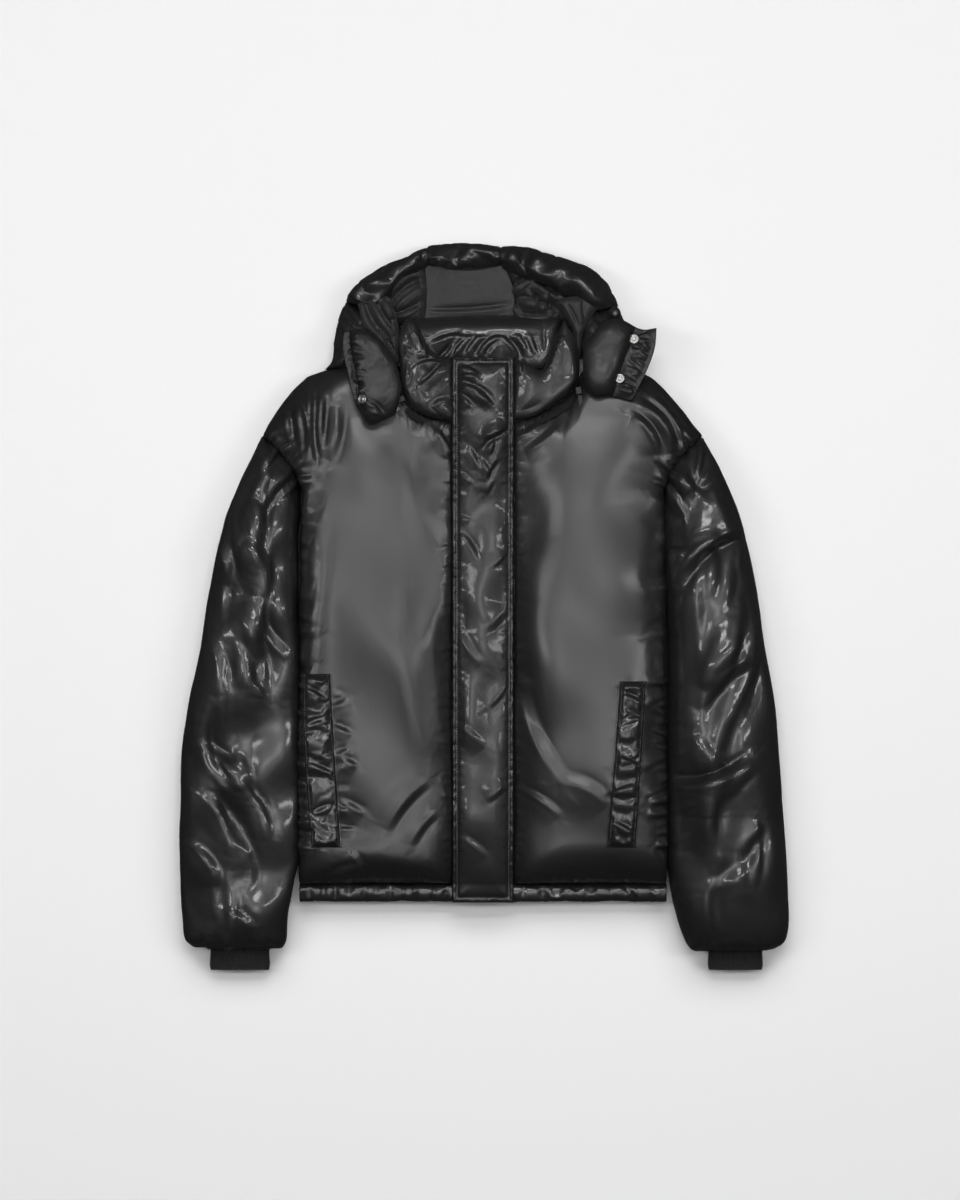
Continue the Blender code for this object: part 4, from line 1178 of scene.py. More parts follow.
@dataclass
class StormFlap:
    """The padded flap over the front zip: piped on both long edges and across its ends."""

    maker: Maker
    half_width: float = 0.0395
    low_y: float = HEM_Y
    high_y: float = 0.3215
    piping: float = 0.0062
    piping_rise: float = 0.0040
    edge_rise: float = 0.0012
    stitched: float = 0.0012
    loft: float = 0.0085
    columns: int = 31
    rows: int = 200

    def make(self) -> None:
        """Makes the flap: its middle puckers between the stitched edges."""
        rim_shares = [0.865, 0.90, 0.94, 0.975, 1.0]
        inner = np.linspace(-0.82, 0.82, self.columns - 2 * len(rim_shares))
        across = np.concatenate([[-share for share in reversed(rim_shares)], inner, rim_shares])
        along = np.linspace(0, 1, self.rows)
        along = np.unique(np.concatenate([along, [0.002, 0.005, 0.995, 0.998]]))
        x, y = np.meshgrid(self.half_width * across, self.low_y + (self.high_y - self.low_y) * along)
        lower = Body.seat(y)
        edge = self.half_width - np.abs(x)
        end = np.minimum(y - self.low_y, self.high_y - y)
        rim = np.minimum(edge, end)
        off_cord = (rim - self.piping / 2) / (self.piping / 2)
        piping = self.piping_rise * np.sqrt(np.clip(1 - off_cord**2, 0, 1))
        piping *= 1 + 0.16 * ripples(x, y, 0.009, 8)
        middle = 1 - ease(np.clip(rim - self.piping, 0, None), 0.020)
        height = 0.0022 + np.where(rim < self.piping, piping, 0.0006 + self.loft * middle)
        height[rim <= 1e-6] = self.edge_rise
        pinned = rim < self.piping + self.stitched
        cloth = laid(x, y, lower + height)
        full = 0.05 + 0.20 * np.clip((y - 0.08) / 0.16, 0, 1)
        creases = (*FLAP_FOLDS, *(fold for side in Side for fold in FLAP_SEAM.gathers(side)))
        creased = cloth.creased(creases, 0.6, rim > self.piping + self.stitched)
        loft = Loft(1.2, 0.024, 0.03, 12, limit=0.0050, seam_crumple=0.35, reach=2)
        fine = loft.settle(creased, pinned, crumple=full).refined()
        fx, fy = fine.points[..., 0], fine.points[..., 1]
        clear = np.clip((self.half_width - self.piping - np.abs(fx)) / 0.0020, 0, 1)
        fine = fine.creased(creases, 0.5, clear)
        inward = np.clip((self.half_width - self.piping - np.abs(fx)) / 0.010, 0, 1)
        fine.points[..., 2] += 0.0014 * ripples(fx, 0.6 * fy, 0.045, 3) * inward
        self.maker.pad("storm_flap", closed_pad(fine, laid(x, y, lower)), "storm", "placket", 0.4)


@dataclass
class PocketWelts:
    """A narrow padded welt on each front, stitched down all round."""

    maker: Maker
    rows_by_side: dict[Side, Sequence[tuple[float, float, float]]] = field(
        default_factory=lambda: {
            Side.RIGHT: ((0.1925, 0.2310, -0.0810), (0.1860, 0.2275, -0.1900), (0.1790, 0.2190, -0.3010)),
            Side.LEFT: ((0.1715, 0.2080, -0.0900), (0.1650, 0.2020, -0.1800), (0.1550, 0.1940, -0.3000)),
        }
    )
    loft: float = 0.0085

    def make(self) -> None:
        """Makes both welts on their fronts' own surface."""
        for side in Side:
            rows = through(self.rows_by_side[side], seam_spaced(64, 0.15))
            share = seam_spaced(17, 0.3)
            x = side.value * (rows[:, :1] + share * (rows[:, 1:2] - rows[:, :1]))
            y = np.repeat(rows[:, 2:3], len(share), axis=1)
            front = f"front_panel_{side.word}"
            below = np.vectorize(lambda a, b: self.maker.height(front, a, b))(x, y)
            below = smoothed(below, 3)
            edge = np.minimum(share, 1 - share) * (rows[:, 1:2] - rows[:, :1])
            end = np.minimum(y.max() - y, y - y.min())
            rim = np.minimum(edge, end)
            height = 0.0020 + self.loft * (1 - ease(np.clip(rim - 0.0020, 0, None), 0.009))
            pinned = rim < 0.0024
            cloth = laid(x, y, below + height)
            settled = Loft(2.0, 0.060, 0.02, 12, limit=0.0070, crumple=0.60, reach=3).settle(cloth, pinned)
            fine = settled.refined().creased(WELT_FOLDS[side], 1.0)
            skin = closed_pad(fine, laid(x, y, below - 0.003))
            self.maker.pad(f"pocket_welt_pad_{side.word}", skin, "shell", f"pocket_welt_{side.word}", 0.4)


# ------------------------ sleeves


def resting_ring(first: Array, second: Array, height: float, around: int, rest: float = 0.0) -> Array:
    """A padded section between two plan points, rounded above and flat where it rests.

    Args:
        first: plan point at one side.
        second: plan point at the other.
        height: how high its top is.
        around: how many points it has.
        rest: the height that it rests at.

    Returns:
        The ring's points.
    """
    angle = turns(around)
    cosine, sine = np.cos(angle), np.sin(angle)
    share = 0.5 + 0.5 * np.sign(cosine) * np.abs(cosine) ** 0.8
    middle = 0.45 * height
    above = middle + (height - middle) * np.abs(sine) ** 0.85
    below = middle * (1 - np.minimum(1.25 * np.abs(sine) ** 0.8, 1))
    plan = np.array(first) + share[:, None] * (np.array(second) - np.array(first))
    return np.column_stack([plan, rest + np.where(sine > 0, above, below)])


def oval_ring(
    centre: Array, across: tuple[float, float], half_width: float, half_height: float, around: int
) -> Array:
    """An upright oval section round a centre, with its width along a plan direction."""
    angle = turns(around)[:, None]
    side, up = np.array([*across, 0.0]), np.array([0.0, 0.0, 1.0])
    return centre + half_width * np.cos(angle) * side + half_height * np.sin(angle) * up


@dataclass
class Sleeves:
    """The padded sleeves and their rib cuffs.

    A section's columns are its outer fold's |x| and y, its inner fold's |x| and y, and its height.
    """

    maker: Maker
    body: Body
    sections: dict[Side, Sequence[tuple[float, float, float, float, float]]] = field(
        default_factory=lambda: {
            Side.RIGHT: sections(
                (285, 222.5, 232.5, 153, 72), (306, 182, 233.5, 108, 80), (326, 130, 234.5, 60, 86),
                (337, 84, 235, 15, 88), (348, 30, 235.5, -30, 88), (359, -25, 235.5, -80, 87),
                (370.5, -85, 235.5, -130, 86), (379, -140, 235.5, -180, 85), (385, -200, 236, -235, 84),
                (388.5, -270, 237, -290, 83), (389, -340, 240.5, -350, 81), (387, -390, 249, -392, 77),
                (384, -421, 252.5, -423, 66), (376, -433, 258, -434.5, 44),
            ),
            Side.LEFT: sections(
                (284, 222.5, 233, 153, 72), (303, 182, 234, 108, 80), (324, 130, 234.5, 60, 86),
                (338.5, 84, 235, 15, 86), (350.5, 30, 235.5, -30, 88), (360.5, -30, 235.5, -80, 87),
                (370.5, -84, 235.5, -130, 86), (378.5, -140, 235.8, -180, 85), (384, -200, 236, -235, 84),
                (389.5, -270, 236.5, -290, 83), (393, -345, 238, -350, 81), (393.5, -395, 248.5, -395, 77),
                (389, -423, 260, -425, 66), (377, -436, 269, -438, 44),
            ),
        }
    )
    hollow: Sequence[tuple[float, float]] = run(14, 1, 40, 1, 46, 1, 45, 6, 45.5, 8)
    armhole_bow: float = 0.012
    around: int = 68
    along: int = 190
    cuffs: dict[Side, tuple[float, float, float]] = field(
        default_factory=lambda: {Side.RIGHT: (0.3135, 0.0385, 0.0375), Side.LEFT: (0.3255, 0.0360, 0.0340)}
    )
    cuff_start_y: float = -0.4160
    cuff_end_y: float = -0.4640
    cuff_mid_z: float = 0.0225

    def make(self, creases: dict[Side, Sequence[Fold]]) -> None:
        """Makes both sleeves and both cuffs."""
        for side in Side:
            self._make_sleeve(side, creases[side])
            self._make_cuff(side)

    def _make_sleeve(self, side: Side, creases: Sequence[Fold]) -> None:
        """Makes one sleeve: the tube settles over its resting side, then takes its folds."""
        places = np.unique(np.concatenate([np.linspace(0, 1, self.along), [0.003, 0.985, 0.990, 0.996]]))
        rows = through(self.sections[side], places)
        rows[:, 4] *= 1 - 0.42 * ease(0.70 * places, 0.034)
        rows[:, 2] -= 0.004 * np.clip(places * 20, 0, 1) * np.clip((rows[:, 3] + 0.345) / 0.03, 0, 1)
        sign = side.value
        points = np.array(
            [resting_ring((sign * ix, iy), (sign * ox, oy), z, self.around) for ox, oy, ix, iy, z in rows]
        )
        share = np.cos(turns(self.around))
        bulge = self.armhole_bow * (1 - share**2) * (np.clip(1 - places / 0.08, 0, 1) ** 2)[:, None]
        points[..., 0] -= sign * 0.80 * bulge
        points[..., 1] += 0.60 * bulge
        swell = ripples(points[..., 0], 0.7 * points[..., 1], 0.085, 21 + int(sign))
        high = np.clip((points[..., 2] - 0.040) / 0.03, 0, 1) * np.clip(places * 12, 0, 1)[:, None]
        points[..., 2] += 0.0030 * swell * high
        cloth = ClothGrid(points, wraps=True)
        pinned = points[..., 2] < 0.012
        pinned[[0, -1]] = True
        loft = Loft(2.6, 0.022, 0.06, limit=0.011, crumple=0.12, seam_crumple=0.4, reach=8)
        fine = loft.settle(cloth.creased(creases, 0.7), pinned, (1.035, 1.0)).refined()
        fine.points[..., 2] = np.maximum(fine.points[..., 2], 0.0)
        flank = self.body.flank_x(side, fine.points[..., 1], fine.points[..., 2]) - 0.0008
        beside = (fine.points[..., 1] > HEM_SEAM_Y) & (fine.points[..., 1] < 0.150)
        outward = sign * fine.points[..., 0]
        reached = np.where(beside, np.maximum(outward, flank), outward)
        fine.points[..., 0] = sign * reached
        clear = np.where(beside, np.clip((reached - flank) / 0.009, 0, 1), 1.0)
        fine = fine.creased(creases, 0.6, clear)
        inner = []
        ends = through([(0.5 * (r[0] + r[2]), 0.5 * (r[1] + r[3])) for r in self.sections[side]], 5)
        spaced = rows[:: len(rows) // len(ends) + 1]
        for (half_width, half_height), (x, y), row in zip(self.hollow, ends, spaced):
            held_open = half_height > 0.005
            height = self.cuff_mid_z if held_open else 0.42 * row[4]
            direction = (1.0, 0.0) if held_open else (0.62 * sign, 0.78)
            centre = np.array((sign * x, y, height))
            inner.append(oval_ring(centre, direction, half_width, half_height, 2 * self.around))
        skin = walled_tube(fine, ClothGrid(np.array(inner), wraps=True))
        self.maker.pad(f"sleeve_tube_{side.word}", skin, "shell", f"sleeve_{side.word}", 0.7)

    def _make_cuff(self, side: Side) -> None:
        """Makes one rib cuff: a flattened tube with its ribs in the mesh."""
        centre, wide, narrow = self.cuffs[side]
        ribs, per_rib = 66, 6
        around = ribs * per_rib
        wave = 0.00055 * np.cos(2 * math.pi * np.arange(around) / per_rib)
        outer, inner = [], []
        for share in np.linspace(0, 1, 15):
            y = self.cuff_start_y + share * (self.cuff_end_y - self.cuff_start_y)
            half = wide + share * (narrow - wide) + 0.0006 * math.sin(9 * share)
            middle = np.array((side.value * centre, y, self.cuff_mid_z))
            turned = np.clip((share - 0.88) / 0.12, 0, 1)
            height = 0.0060 - 0.0008 * turned
            angle = turns(around)[:, None]
            out = oval_ring(middle, (1.0, 0.0), half, height, around)
            direction = np.hstack([np.cos(angle), 0 * angle, np.sin(angle)])
            outer.append(out + direction * (wave[:, None] - 0.0006 * turned))
            if round(14 * share) % 7 == 0:
                inner.append(oval_ring(middle, (1.0, 0.0), half - 0.0026, 0.0032, around))
        skin = walled_tube(ClothGrid(np.array(outer), True), ClothGrid(np.array(inner), True))
        made = self.maker.piece(
            f"cuff_rib_{side.word}", skin, self.maker.finishes.rib, "rib_knit", [f"cuff_{side.word}"]
        )


# ------------------------ collar and hood


@dataclass
class Pad:
    """A padded panel that lies on something: its plan edges, its height and how it settles."""

    name: str
    node: str
    edges: tuple[Run, Run, Run, Run]
    rest: float
    loft: float
    reach: float = 0.022
    columns: int = 40
    rows: int = 34
    tilt: float = 0.0
    settle: Loft = Loft()
    folds: Sequence[Fold] = ()
    finish: str = "shell"
    calm_above: float = math.inf
    strip: float = 1.0
    strip_first: bool = False
    strip_height: float = 0.0090
    held: Sequence[tuple[float, float]] = ()

    def shape(self) -> tuple[Array, Array, Array, Array]:
        """Plan grid, lower and upper heights and distance from the nearest seam."""
        plan = patch(self.edges, self.columns, self.rows, 0.45)
        u, v = edge_share(plan)
        wide = np.linalg.norm(plan[:, -1] - plan[:, 0], axis=1)[:, None]
        tall = np.linalg.norm(plan[-1] - plan[0], axis=1)[None, :]
        sides = ease(u * wide, self.reach), ease((1 - u) * wide, self.reach)
        ends = ease(v * tall, self.reach), ease((1 - v) * tall, self.reach)
        puff = 1 - np.clip(joined(*sides, *ends), 0, 1)
        lower = self.rest + self.tilt * (v - 0.5)
        rim = np.minimum(np.minimum(u, 1 - u) * wide, np.minimum(v, 1 - v) * tall)
        upper = lower + 0.003 + self.loft * puff
        if self.strip < 1:
            inward = ((1 - u) if self.strip_first else u) / self.strip
            dome = np.clip(1 - joined(ease(inward * 0.055, 0.028), ease((1 - inward) * 0.055, 0.022)), 0, 1)
            round_ends = np.clip(1 - joined(ease(v * 0.09, 0.025), ease((1 - v) * 0.09, 0.020)), 0, 1)
            thin = self.strip_height * (0.6 + 0.4 * round_ends)
            upper = lower + thin + (self.loft - self.strip_height) * dome * round_ends
            rim = np.minimum(rim, 0.06 * np.abs(inward - 1) - 0.0006)
            for spot in self.held:
                rim = np.minimum(rim, np.linalg.norm(plan - np.array(spot), axis=-1) - 0.0065)
        return plan, lower, upper, rim

    def make(self, maker: Maker) -> None:
        """Makes the panel, which the maker adds to the scene."""
        plan, lower, upper, rim = self.shape()
        cloth = ClothGrid(np.dstack([plan, upper]))
        calm = np.clip((plan[..., 1] - self.calm_above) / 0.008, 0, 1)
        free = rim > 1e-6
        crumple = self.settle.crumple * (1 - 0.9 * calm)
        settled = self.settle.settle(cloth.creased(self.folds, 0.6, free), ~free, crumple=crumple)
        fine = settled.refined().creased(self.folds, 0.5)
        skin = closed_pad(fine, ClothGrid(np.dstack([plan, lower])))
        maker.pad(self.name, skin, self.finish, self.node, 0.6)


@dataclass
class Collar:
    """The padded stand collar: two front halves and the back half behind them."""

    maker: Maker

    def make(self) -> None:
        """Makes the three parts."""
        for pad in COLLAR_PADS:
            pad.make(self.maker)


@dataclass
class Hood:
    """The hood laid open behind the collar."""

    maker: Maker
    rolls: dict[str, Sequence[tuple[float, float, float, float, float]]] = field(
        default_factory=lambda: {
            "hood_rim_right": sections(
                (-70.5, 465, -69, 442, 52), (-106, 454, -96, 428, 60), (-137, 439, -111, 413, 66),
                (-157, 423, -120, 399, 70), (-170, 408, -127, 389, 68), (-175, 395, -129, 382, 52),
            ),
            "hood_rim_centre": sections(
                (-72, 466, -71, 442.5, 50), (-40, 467.5, -40, 441.5, 56), (-5, 467.5, -5, 441.5, 56),
                (23.5, 466, 22.5, 442.5, 50),
            ),
            "hood_rim_left": sections(
                (22, 465.5, 21, 442.5, 52), (58, 462, 49, 431, 60), (90, 454, 76, 420, 66),
                (134, 439, 103, 404, 70), (155, 423, 115, 394, 72), (165, 407, 123, 386, 70),
                (173, 389, 129, 379, 54),
            ),
        }
    )

    def make(self) -> None:
        """Makes the rim, the shell, the sides, the lining and the chin flaps."""
        for seed, (name, rows) in enumerate(self.rolls.items()):
            self._make_roll(name, rows, seed)
        for pad in HOOD_PADS:
            pad.make(self.maker)
        tab = sections(
            (165, 386.5, 158, 378, 10), (171, 383.5, 161.5, 373.5, 14), (174.5, 379, 165.5, 369.5, 14),
            (175.5, 374, 169, 368.5, 9),
        )
        self._make_roll("hood_channel_end", tab, 9, 0.0725, 0.0025)

    def _make_roll(
        self,
        name: str,
        rows: Sequence[tuple[float, float, float, float, float]],
        seed: int,
        rest: float = 0.0,
        limit: float = 0.009,
    ) -> None:
        """Makes one padded roll of the rim, gathered along its length."""
        length = np.linalg.norm(np.diff(np.array(rows)[:, :2], axis=0), axis=1).sum()
        count = max(14, int(length / 0.0030))
        sections = through(rows, count)
        points = np.array([resting_ring((ix, iy), (ox, oy), h, 36, rest) for ox, oy, ix, iy, h in sections])
        high = np.clip((points[..., 2] - rest) / sections[:, 4:5], 0, 1)
        swell = ripples(points[..., 0], points[..., 1], 0.036, 70 + seed)
        points[..., 2] += 0.05 * sections[:, 4:5] * swell * high
        cloth = ClothGrid(points, wraps=True)
        pinned = points[..., 2] < rest + 0.008
        pinned[[0, -1]] = True
        settled = Loft(2.4, 0.070, 0.02, limit=limit, crumple=0.80).settle(cloth, pinned)
        settled.points[..., 2] = np.maximum(settled.points[..., 2], rest)
        self.maker.pad(f"{name}_roll", closed_roll(settled.refined()), "shell", name, 0.6)


# ------------------------ folds, as cut and worn

ARMHOLE: Run = run(-233, 150, -241, 175, -259, 200, -283, 222.5)
FRONT_SEAMS = (
    Seam(run(-40.5, -340, -40.5, 0, -40.5, 230), 0.0150, 0.011, 0.0009, 0.0026, 101),
    Seam(run(-232, -351, -140, -351, -42, -351), 0.0105, 0.013, 0.0014, 0.0027, 103),
    Seam(run(-45, 240, -70, 246, -88, 255, -99, 266), 0.0070, 0.022, 0.0015, 0.0024, 105),
    Seam(run(-237, -70, -237, -310), 0.0110, 0.026, 0.0040, 0.0032, 107),
    Seam(run(-186, -90, -180, -290), 0.0240, 0.022, 0.0030, 0.0036, 115),
    Seam(run(-236, -70, -233, 140), 0.0200, 0.036, 0.0036, 0.0055, 117),
    Seam(ARMHOLE, 0.0085, 0.024, 0.0022, 0.0028, 109, -1.0),
)
SLEEVE_SEAMS = (
    Seam(ARMHOLE, 0.0105, 0.046, 0.0036, 0.0042, 111, 1.0, -0.60),
    Seam(run(-262, -433, -372, -431), 0.0085, 0.018, 0.0022, 0.0030, 113, -1.0),
)
SLEEVE_DRAPES = (
    Drape(
        run(-266, 165, -292, 80, -304, -30, -311, -150, -315, -400),
        0.036, 20, 0.16, 0.115, 0.0066, 0.0038, 131,
    ),
)
FRONT_FOLDS: dict[Side, Sequence[Fold]] = {
    Side.RIGHT: folds(
        (-70, -216, -123, -281, -6, 6.5, 4.5), (-59, -256, -92, -301, -4, 5.5, 3.5),
        (-182, -188, -160, -200, 0, 4, 3.5), (-184, -243, -150, -260, 0, 5, 4),
        (-168, -307, -152, -333, 0, 4.5, 3.5), (-196, -345, -150, -328, 4, 5, 3.5),
        (-71, 235, -38, 196, 4, 4.5, 3), (-60, 232, -44, 178, 3, 4.5, 2.5),
        (-238, 268, -229, 190, 3, 5.6, 8, 0.7), (-221, 282, -217, 180, -3, 5.2, 8.4, 0.7),
        (-205, 276, -209, 205, 0, 5, 6, 0.7), (-252, 258, -246, 212, 0, 4.4, 5, 0.6),
        (-186, 262, -196, 188, 4, 7, 5, 0.6),
    ),
    Side.LEFT: folds(
        (41, -100, 52, -82, 0, 4, 3), (41, -92, 102, -222, -10, 11, 5), (92, -218, 158, -250, 10, 9, 4),
        (47, -230, 98, -262, 4, 5.5, 3), (41, 220, 80, 243, -4, 5, 3), (52, 200, 100, 235, -4, 6, 3),
        (196, 262, 241, 196, 12, 6.6, 8.4, 0.8), (186, 246, 222, 196, 8, 6, 6, 0.7),
        (214, 272, 256, 216, 4, 5.6, 6, 0.6),
    ),
}
SLEEVE_FOLDS: dict[Side, Sequence[Fold]] = {
    Side.RIGHT: folds(
        (-292, 141, -282, 83, 6, 6, 6), (-300, 90, -278, 14, 10, 10, 6), (-302, 13, -247, -64, -6, 8, 6),
        (-311, 0, -283, -115, 12, 8.5, 6.5), (-314, -38, -298, -102, 4, 6, 4.5),
        (-357, -173, -305, -230, 6, 7.5, 6), (-317, -179, -298, -230, 4, 6, 4.5),
        (-358, -237, -305, -333, 12, 8.5, 6.5), (-371, -301, -337, -352, 6, 7, 5),
        (-324, -384, -292, -410, 3, 6, 4), (-338, 90, -322, 30, 4, 7, 3.5),
        (-345, -40, -330, -110, 4, 8, 3.5),
    ),
    Side.LEFT: folds(
        (333, 105, 241, 29, -16, 9.5, 9.5, 0.8), (233, 77, 258, 70, 0, 5, 5),
        (325, -38, 284, -102, -6, 8, 6), (339, -58, 278, -128, -10, 8.5, 6),
        (236, -224, 344, -186, -14, 9, 9, 0.8), (344, -195, 303, -243, -6, 8, 5),
        (286, -356, 350, -312, -6, 10, 4), (262, -160, 300, -215, 6, 7, 4),
        (300, 180, 262, 140, -6, 7, 4), (355, -270, 330, -310, -4, 7, 3.5),
    ),
}
FLAP_SEAM = Seam(run(-33, -370, -33, 0, -33, 310), 0.0105, 0.0100, 0.0006, 0.0024, 121, -1.0)
CHIN_SEAMS = {
    Side.RIGHT: Seam(run(-166, 350, -165, 320, -154, 264), 0.0070, 0.011, 0.0034, 0.0026, 141),
    Side.LEFT: Seam(run(-196, 352, -190, 320, -173, 276), 0.0060, 0.014, 0.0032, 0.0026, 143, -1.0),
}
FLAP_FOLDS: Sequence[Fold] = folds(
    (-30, 306, -6, 296, 4, 3, 4, 0.8), (-30, 296, -6, 293, 3, 2.6, 3, 0.7),
    (-28, 286, 10, 264, 3, 3.4, 5.2, 0.8), (-10, 274, 12, 258, 2, 2.8, 4, 0.8),
    (-30, 270, -16, 256, 2, 3.4, 3.4, 0.7), (30, 238, -2, 221, 4, 4, 4.6, 0.8),
    (26, 228, -6, 206, -4, 3.4, 4, 0.8), (12, 220, 6, 196, 2, 3, 3.4, 0.7),
    (-20, 208, -6, 178, 2, 3, 3, 0.7), (-8, 196, 8, 172, 2, 2.8, 2.8, 0.7),
    (18, 194, 2, 162, -2, 3.2, 3.4, 0.7), (-30, 174, -14, 162, 0, 2.8, 2.2),
    (12, 166, 4, 148, 0, 2.8, 2.6), (-28, 118, -16, 114, 0, 2.6, 2),
    (-30, 98, -8, 62, 3, 4, 3, 0.6), (30, 76, 12, 56, 2, 3, 2.4),
    (28, 8, 2, -24, 4, 6, 2.6), (-28, -30, -2, -70, -4, 6, 2.4), (28, -96, 6, -124, 2, 4, 2.6),
    (-28, -150, 2, -176, 2, 5, 2.2), (28, -220, 2, -242, 2, 4.6, 2.2), (-28, -290, 4, -316, 2, 4.6, 2.4),
)
WELT_FOLDS: dict[Side, Sequence[Fold]] = {
    Side.RIGHT: folds(
        (-226, -100, -200, -116, 2, 3.2, 3.6, 0.7), (-222, -150, -196, -140, 2, 3.2, 3.6, 0.7),
        (-222, -196, -192, -210, 2, 3.4, 3.9, 0.7), (-216, -262, -190, -250, 2, 3.4, 3.6, 0.7),
    ),
    Side.LEFT: folds(
        (176, -108, 204, -122, 2, 3.4, 4.2, 0.7), (172, -146, 200, -136, 2, 3.4, 4.2, 0.7),
        (168, -186, 198, -200, 2, 3.4, 4.2, 0.7), (164, -232, 192, -222, 2, 3.4, 4.2, 0.7),
        (160, -268, 188, -282, 2, 3.4, 3.9, 0.7),
    ),
}
EDGE_PUCKERS = tuple(
    Fold(
        (0.0816 + 0.0029 * k, 0.3075 + 0.0087 * k), (0.0905 + 0.0029 * k, 0.3165 + 0.0080 * k),
        0.0, 0.0020, 0.0024,
    )
    for k in range(5)
)
FRONT_LOFT = Loft(2.6, 0.014, 0.12, limit=0.008, crumple=0.10, seam_crumple=0.85, reach=7)
SIDE_LOFT = Loft(1.6, 0.05, 0.02, limit=0.008, crumple=0.20)
CHIN_LOFT = Loft(2.4, 0.05, 0.03, limit=0.007, crumple=0.16, reach=4)
COLLAR_PADS: Sequence[Pad] = (
    Pad(
        "collar_front_right", "collar_right",
        framed(
            run(-34, 239.5, -70, 247, -87, 256, -97, 267, -103.5, 282),
            run(-34, 318, -52, 322, -63, 329, -74, 344, -84, 364, -98.5, 374.5),
            run(-34.5, 280), run(-106, 310, -106.5, 350),
        ),
        0.0590, 0.0185, 0.026, 38, 40, 0.0,
        Loft(2.4, 0.045, 0.04, limit=0.008, crumple=0.25, seam_crumple=0.6, reach=3),
        folds(
            (-81, 284, -50.5, 313.5, -2, 2.8, 5.2, 0.8), (-84, 311, -52, 312.5, 4, 3, 4.4, 0.9),
            (-93, 373, -71.5, 342, -3, 3, 2.8, 0.6), (-90, 356, -78, 330, 2, 2.6, 2.6, 0.6),
            (-71.5, 342, -72, 318, -2, 3, 3, 0.6), (-100, 335, -88, 330, 0, 2, 2.2),
            (-100, 329, -88, 323, 0, 2, 2.2), (-64, 256, -42, 267, 3, 4, 3.4),
            (-98, 315, -100, 285, 2, 3.4, 2.6),
        ),
        "neck",
    ),
    Pad(
        "collar_front_left", "collar_left",
        framed(
            run(34, 239.5, 65, 248, 86, 259, 103, 271, 116.5, 284.5),
            run(34, 319, 46, 319, 61, 311, 76.5, 307, 88, 337, 103.5, 370.5),
            run(34.5, 280), run(122.5, 305, 119.5, 340),
        ),
        0.0590, 0.0170, 0.030, 38, 40, 0.0,
        Loft(2.4, 0.035, 0.05, limit=0.006, crumple=0.08, seam_crumple=0.4, reach=3),
        (
            *folds(
                (44, 315, 76.5, 308.5, 2, 2.2, 2.6, 0.3), (45.5, 318, 47.5, 298, 1, 2.2, 2.6),
                (42, 246, 78, 260, -3, 4.6, 2), (101, 350, 113, 298, 4, 6, 2.2),
            ),
            *EDGE_PUCKERS,
        ),
        "neck",
    ),
    Pad(
        "collar_back_inner", "collar_back",
        framed(
            run(-97, 316, -50, 304, 0, 301, 50, 299, 102, 308), run(-97, 374, 0, 380, 102, 376),
            run(-97.5, 346), run(102.5, 342),
        ),
        0.0290, 0.0200, 0.022, 66, 34, 0.0, Loft(2.0, 0.045, 0.03, limit=0.008, crumple=0.40, reach=3),
        folds(
            (-66, 339, -26, 351, 2, 4.2, 4.4, 0.7), (-58, 316, -34, 342, -2, 3, 4.4, 0.8),
            (-37, 322, -21, 345, 2, 2.8, 4, 0.8), (-22, 324, -5, 348, 2, 2.6, 3.6, 0.8),
            (-6, 322, 19, 348.5, 5, 3, 5.2, 0.9), (6, 320, 20, 340, 3, 2.4, 3, 0.8),
            (23, 347, 44, 320, 4, 3.4, 5.6, 0.8), (43, 351, 56, 324, 2, 3.2, 3.6, 0.7),
            (60, 350, 68, 326, 0, 3, 3, 0.7), (-62, 350, 78, 351.5, -3, 3, 2, 0.3),
            (78.7, 368, 78.7, 330, 0, 1.2, -1.6, 0),
        ),
        calm_above=0.3500,
    ),
)
